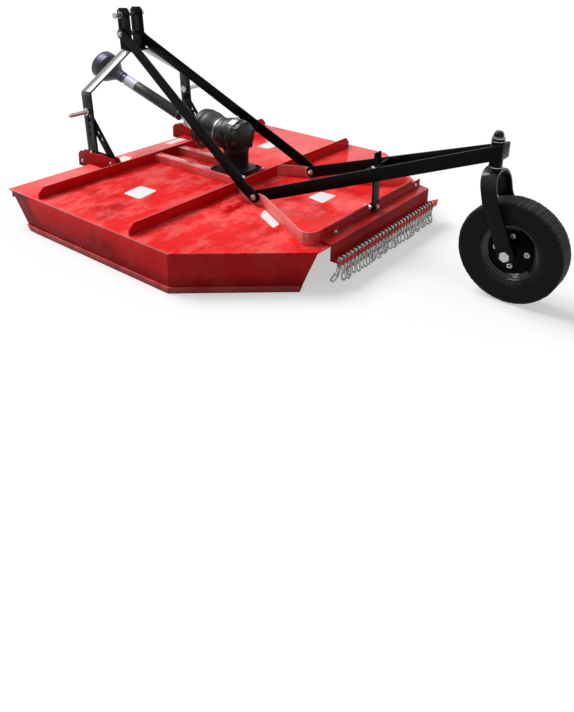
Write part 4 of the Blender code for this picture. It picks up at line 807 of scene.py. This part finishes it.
FENCE_BOLTS = ((post_high.x - 0.014, post_low.y, 0.2000), (-0.006, flange_y, 0.2125),
               (-0.263, flange_y, 0.1840), (0.405, flange_y, 0.1930))
hardware += hex_bolt((-0.022, crossbar_rear, 0.3960), (0, -1, 0), M10, turn=0.2)
for x in (post_low.x + 0.013, post_high.x - 0.013):
    painted += hex_bolt((x, post_high.y, CLAMP_HEIGHT), (0, 1, 0), M10, turn=0.2)
    painted += nut_end((x, crossbar_rear, CLAMP_HEIGHT), (0, -1, 0), M8)
for x, y, z in FENCE_BOLTS:
    hardware += hex_bolt((x, y, z), (0, -1, 0), M10, turn=0.4)
    hardware += nut_end((x, fence_rear + 0.006, z), (0, 1, 0), M10)
ringed("frame_bolts", hardware, zinc, "deck")
ringed("painted_bolts", painted, black_enamel, "deck")


# Lynch pin through the end of the top pin. A plated steel pin with a wire ring that snaps over
# the top pin's end.

def hoop(centre, normal, radius, wire, steps=40, columns=8):
    """Rings of a torus: a small circle carried round a large one."""
    side, over = axes(normal)
    normal = np.asarray(normal, float) / np.linalg.norm(normal)
    turn = np.linspace(0, 2 * np.pi, steps + 1)[:, None, None]
    round_ = np.cos(turn) * side + np.sin(turn) * over
    small = (np.arange(columns) / columns * 2 * np.pi)[None, :, None]
    ring = round_ * (radius + wire * np.cos(small)) + normal * wire * np.sin(small)
    return np.asarray(centre, float) + ring


LYNCH_X = -0.062
top_low, top_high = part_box("top_link_pin")
top_y, top_z = (top_low.y + top_high.y) / 2, (top_low.z + top_high.z) / 2
pins = [lathe([(-0.016, 0.0012), (-0.015, 0.0025), (0.016, 0.0025), (0.017, 0.0040), (0.020, 0.0040),
               (0.021, 0.003)], (LYNCH_X, top_y, top_z), (0, 0.3, 1), 12),
        hoop((LYNCH_X, top_y - 0.0010, top_z + 0.0005), (0.95, 0.25, -0.15), 0.0150, 0.0014)]
ringed("lynch_pin", pins, zinc, "deck")


# Spindle's nut, split pin and washers. The nut is painted black with the collar under it; the
# washers over and under the collar and under the hub are plated. All turn with the fork.

SPINDLE_Y = DECK_FRONT - 2.0
collar_low, collar_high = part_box("spindle_collar")
hub_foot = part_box("caster_hub")[0].z
here = (0, SPINDLE_Y, 0)
spindle = hex_bolt((0, SPINDLE_Y, collar_high.z + 0.0060), (0, 0, 1), 0.0215, 0)
spindle.append(lathe([(collar_high.z + 0.0026, 0.019), (collar_high.z + 0.0044, 0.019)], here,
                     (0, 0, 1), 32))
for angle in (0.5, 0.5 + math.pi):
    way = (math.cos(angle), math.sin(angle), -0.25)
    spindle.append(lathe([(0.010, 0.0022), (0.030, 0.0022), (0.032, 0.001)],
                         (0, SPINDLE_Y, collar_high.z + 0.021), way, 8))
ringed("spindle_nut", spindle, black_enamel, "caster")
WASHERS = (         # height of the foot, thickness and radius
    (collar_high.z + 0.0002, 0.0023, 0.0262),
    (collar_high.z + 0.0046, 0.0012, 0.0225),
    (collar_low.z + 0.0002, 0.0020, 0.0262),
    (hub_foot - 0.0032, 0.0024, 0.0275),
)
ringed("spindle_washers", [lathe([(z, r), (z + thick, r)], here, (0, 0, 1), 40) for z, thick, r in WASHERS],
       zinc, "caster")


# Tail wheel's tyre. Slices of old tyre threaded on the rim and pressed together, then turned:
# the side shows radial slices, the tread the slices' edges. Each slice stands a little
# higher or lower than its neighbours and has its own shade.

WHEEL_CENTRE = np.array([0.0, DECK_FRONT - 2.105, 0.205])
TYRE_R, TYRE_HALF, TYRE_SHOULDER = 0.205, 0.054, 0.016
RIM_R = 0.115
SLICES = 132


def laminated():
    """Black rubber. A noise on the angle round the axle shades each slice, and the tread is paler than the
    sides, painted light on it.
    """
    look = Look("laminated_rubber", Specular_IOR_Level=0.10)
    shift = look.node("ShaderNodeVectorMath", {"operation": "SUBTRACT"}, look.place(), tuple(WHEEL_CENTRE))
    parts = look.node("ShaderNodeSeparateXYZ", {}, shift).socket.node
    across, ahead, up = (Value(look, parts.outputs[i]) for i in range(3))
    angle = up.maths("ARCTAN2", up, ahead)
    slices = look.node("ShaderNodeTexNoise", {"noise_dimensions": "1D"}, angle * (SLICES / (2 * math.pi)),
                       1.0, 2.0, 0.6)
    threads = look.noise(190.0, 4.0, 0.7)
    shade = slices.ramp(0.35, 0.70)
    # Painted light: the tread is paler than the sides.
    tread = across.maths("ABSOLUTE", across).ramp(TYRE_HALF, TYRE_HALF - TYRE_SHOULDER)
    pale = look.blend(tread, (0.014, 0.0135, 0.013, 1.0), (0.085, 0.083, 0.080, 1.0))
    look.feed("Base Color", look.blend(shade * 0.7 + threads.ramp(0.50, 0.75) * 0.3,
                                       (0.004, 0.004, 0.004, 1.0), pale))
    look.feed("Roughness", 0.50 + shade * 0.2 + threads * 0.1)
    return look.bump(slices * 1.4 + threads, 0.5, 0.0012)


def tyre_rings(per_slice=4, uneven=0.0012, groove=0.0016):
    """The section is a rounded box carried round the axle. Each slice shifts it inwards by a seeded
    fraction of a millimetre, and a narrow groove parts it from the next one."""
    corner = np.linspace(0, np.pi / 2, 5)
    shoulder, half, bore = TYRE_SHOULDER, TYRE_HALF, RIM_R + 0.0004
    edge = TYRE_R - shoulder
    rows = [(bore, 0.041), (bore + 0.006, half - 0.009), (bore + 0.013, half - 0.004),
            (bore + 0.024, half - 0.001), (edge - 0.030, half), (edge - 0.012, half)]
    rows += [(edge + shoulder * math.sin(a), half - shoulder + shoulder * math.cos(a)) for a in corner]
    rows += [(TYRE_R, 0.018), (TYRE_R, 0.0)]
    section = np.array(rows + [(r, -x) for r, x in rows[-2::-1]])
    steps = SLICES * per_slice
    turn = np.arange(steps) / steps * 2 * np.pi
    seeds = np.random.default_rng(7)
    sunk = np.repeat(seeds.random(SLICES), per_slice) * uneven
    sunk += np.where(np.arange(steps) % per_slice == 0, groove, 0.0)
    outer = np.clip((section[:, 0] - bore) / 0.02, 0, 1)[None, :]
    radius = section[None, :, 0] - sunk[:, None] * outer * (np.abs(section[None, :, 1]) < half - 0.002)
    wide = section[None, :, 1] * (1 - sunk[:, None] * outer * 0.6 / half)
    rings = np.stack([wide, radius * np.cos(turn)[:, None], radius * np.sin(turn)[:, None]], -1)
    rings = np.concatenate([rings, rings[:1]])
    return rings + WHEEL_CENTRE


skin = ringed("tyre_skin", [tyre_rings()], laminated(), "tail_wheel", 60.0)
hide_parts("tyre")


# Rim of the tail wheel. Two pressed dishes bolted together on a long hub, in gloss black, with
# rolled lips that hold the slices, and four wheel bolts whose nuts are bright.

HUB_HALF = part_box("wheel_rim")[1].x
HUB_BORE = 0.0100
LIP_X, LIP_OUT, LIP_WIRE = 0.0376, 0.1114, 0.0034       # middle and radius of the rolled lip
NUT_CIRCLE, FACE_LEFT, FACE_RIGHT = 0.061, -0.0160, -0.0105
curl = np.linspace(0, np.pi, 7)
rim = [(-HUB_HALF, HUB_BORE), (-HUB_HALF, 0.022), (-HUB_HALF + 0.004, 0.0245), (-0.020, 0.0255),
       (-0.017, 0.030), (FACE_LEFT, 0.046), (FACE_LEFT, 0.072), (-0.0180, 0.082), (-0.0205, 0.0875),
       (-0.0235, 0.0905), (-0.0265, 0.0920), (-0.0285, 0.0955), (-0.0300, 0.0985), (-0.0330, 0.1000),
       (-0.0345, 0.1030), (-0.0355, 0.1065)]
rim += [(-LIP_X - LIP_WIRE * math.sin(a), LIP_OUT - LIP_WIRE * math.cos(a)) for a in curl]
rim += [(-0.0290, 0.1146), (0.0290, 0.1146)]
rim += [(LIP_X + LIP_WIRE * math.sin(a), LIP_OUT + LIP_WIRE * math.cos(a)) for a in curl]
rim += [(0.0345, 0.1045), (0.0320, 0.096), (0.022, 0.086), (0.006, 0.078), (FACE_RIGHT, 0.068),
        (FACE_RIGHT, 0.046), (-0.009, 0.030), (-0.006, 0.0255), (HUB_HALF - 0.004, 0.0245),
        (HUB_HALF, 0.022), (HUB_HALF, HUB_BORE), (-HUB_HALF, HUB_BORE)]


def bead_shine(look):
    """A share that rises on the beads and the lip, which lie further than 88 mm from the axle."""
    shift = look.node("ShaderNodeVectorMath", {"operation": "SUBTRACT"}, look.stretched((0.0, 1.0, 1.0)),
                      (0.0, WHEEL_CENTRE[1], WHEEL_CENTRE[2]))
    reach = look.node("ShaderNodeVectorMath", {"operation": "LENGTH"}, shift)
    return reach.ramp(0.0880, 0.0905) * 0.8


skin = ringed("rim_skin", [lathe(rim, WHEEL_CENTRE, (1, 0, 0), 96)],
              gloss_black("black_enamel_rim", 0.03, bead_shine), "tail_wheel", 40.0)
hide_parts("wheel_rim")
nuts = []
for angle in np.arange(4) * 0.5 * np.pi:
    spot = WHEEL_CENTRE + np.array([0, NUT_CIRCLE * math.cos(angle), NUT_CIRCLE * math.sin(angle)])
    nuts += nut_end(spot + np.array([FACE_LEFT, 0, 0]), (-1, 0, 0), 0.0100, turn=angle)
    nuts += hex_bolt(spot + np.array([FACE_RIGHT, 0, 0]), (1, 0, 0), 0.0110, turn=angle)
ringed("wheel_nuts", nuts, zinc, "tail_wheel")


# Chain curtain. Thirty short chains of welded round links hang on a rod over the guard's slotted
# shelf. The top links and the rod are zinc plated; the lower links are plain steel, and swing a
# little, each its own way.

ROD_RADIUS, ROD_GAP = 0.004, 0.0003
SHELF_TOP = 0.107
ROD_Y, ROD_Z = DECK_FRONT - 1.543, SHELF_TOP + ROD_GAP + ROD_RADIUS
CHAINS, FIRST_X, PITCH = 30, -0.338, 0.0268
LINKS_EACH = 3
WIRE, LINK_HALF, LINK_STEP = 0.0040, 0.0088, 0.0335     # wire's radius, half the link's middle line, pitch


def links(crowns, lean_x, lean_y, twisted):
    """Rings of many links at once. A link's middle line is two half circles joined by straight sides;
    it hangs from its crown along its own leaning direction, turned a quarter where twisted."""
    steps, columns = 14, 6
    t = (np.arange(steps + 1) + 0.5) / steps * 2 * np.pi
    a = LINK_HALF
    b = LINK_STEP / 2 + WIRE - a
    line = np.stack([a * np.cos(t), 0 * t, a * np.sin(t) + b * np.sign(np.sin(t))], -1)
    normal = np.stack([np.cos(t), 0 * t, np.sin(t)], -1)
    s = np.arange(columns) / columns * 2 * np.pi
    tube = (line[:, None] + WIRE * (np.cos(s)[None, :, None] * normal[:, None]
                                    + np.sin(s)[None, :, None] * np.array([0.0, 1.0, 0.0])))
    down = np.stack([lean_x, lean_y, -np.ones_like(lean_x)], -1)
    down /= np.linalg.norm(down, axis=1, keepdims=True)
    flat = np.where(twisted[:, None], np.array([0.0, 1.0, 0.0]), np.array([1.0, 0.0, 0.0]))
    side = flat - down * np.sum(flat * down, 1, keepdims=True)
    side /= np.linalg.norm(side, axis=1, keepdims=True)
    through = np.cross(side, -down)
    centre = crowns + down * (a + b)
    hung = (centre[:, None, None] + tube[None, ..., :1] * side[:, None, None]
            + tube[None, ..., 1:2] * through[:, None, None] - tube[None, ..., 2:] * down[:, None, None])
    return hung, crowns + down * LINK_STEP


seeds = np.random.default_rng(23)
chain_x = FIRST_X + PITCH * np.arange(CHAINS)
crown = np.stack([chain_x, np.full(CHAINS, ROD_Y), np.full(CHAINS, ROD_Z + ROD_RADIUS + WIRE)], -1)
sway_x, sway_y = np.zeros(CHAINS), np.zeros(CHAINS)
tops, lows = [], []
for k in range(LINKS_EACH):
    if k:
        sway_x = seeds.normal(0, 0.035 * k, CHAINS)
        sway_y = seeds.normal(-0.05 * (k - 1), 0.06 * k, CHAINS)
        sway_x[0] = -0.5 * k * k                        # the end chain is thrown aside
    made, crown = links(crown, sway_x, sway_y, np.full(CHAINS, k % 2 == 0))
    (tops if k == 0 else lows).extend(made)
rod = lathe([(chain_x[0] - 0.014, ROD_RADIUS), (chain_x[-1] + 0.014, ROD_RADIUS)], (0, ROD_Y, ROD_Z),
            (1, 0, 0), 12)


def chain_steel():
    look = Look("chain_steel", Metallic=1.0)
    dull = look.noise(70.0, 5.0, 0.7)
    look.feed("Base Color", look.blend(dull.ramp(0.35, 0.70), (0.62, 0.61, 0.60, 1.0),
                                       (0.26, 0.25, 0.24, 1.0)))
    look.feed("Roughness", 0.30 + dull * 0.25)
    return look.bump(look.noise(500.0, 3.0), 0.2, 0.0006)


skin = ringed("chain_crowns", tops + [rod], zinc, "deck", 60.0)
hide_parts("chain_curtain")
ringed("chain_links", lows, chain_steel(), "deck", 60.0)


# Cutting gear under the deck. A forged carrier bar and two swinging blades of spring steel, ground
# along their leading edges and stained by heat treatment.

def blade_steel():
    look = Look("blade_steel", Metallic=0.85)
    scale = look.noise(24.0, 5.0, 0.65)
    marks = look.noise(1.0, 3.0, 0.6, look.stretched((20.0, 240.0, 60.0)))
    look.feed("Base Color", look.blend(scale.ramp(0.35, 0.65), (0.075, 0.068, 0.062, 1.0),
                                       (0.20, 0.19, 0.18, 1.0)))
    look.feed("Roughness", 0.34 + marks * 0.22)
    return look.bump(marks + scale, 0.2, 0.001)


bare_steel = blade_steel()
for node in ("blade_carrier", "blade_left", "blade_right"):
    softened(node, bare_steel, 0.0010, ROUND_ANGLE)
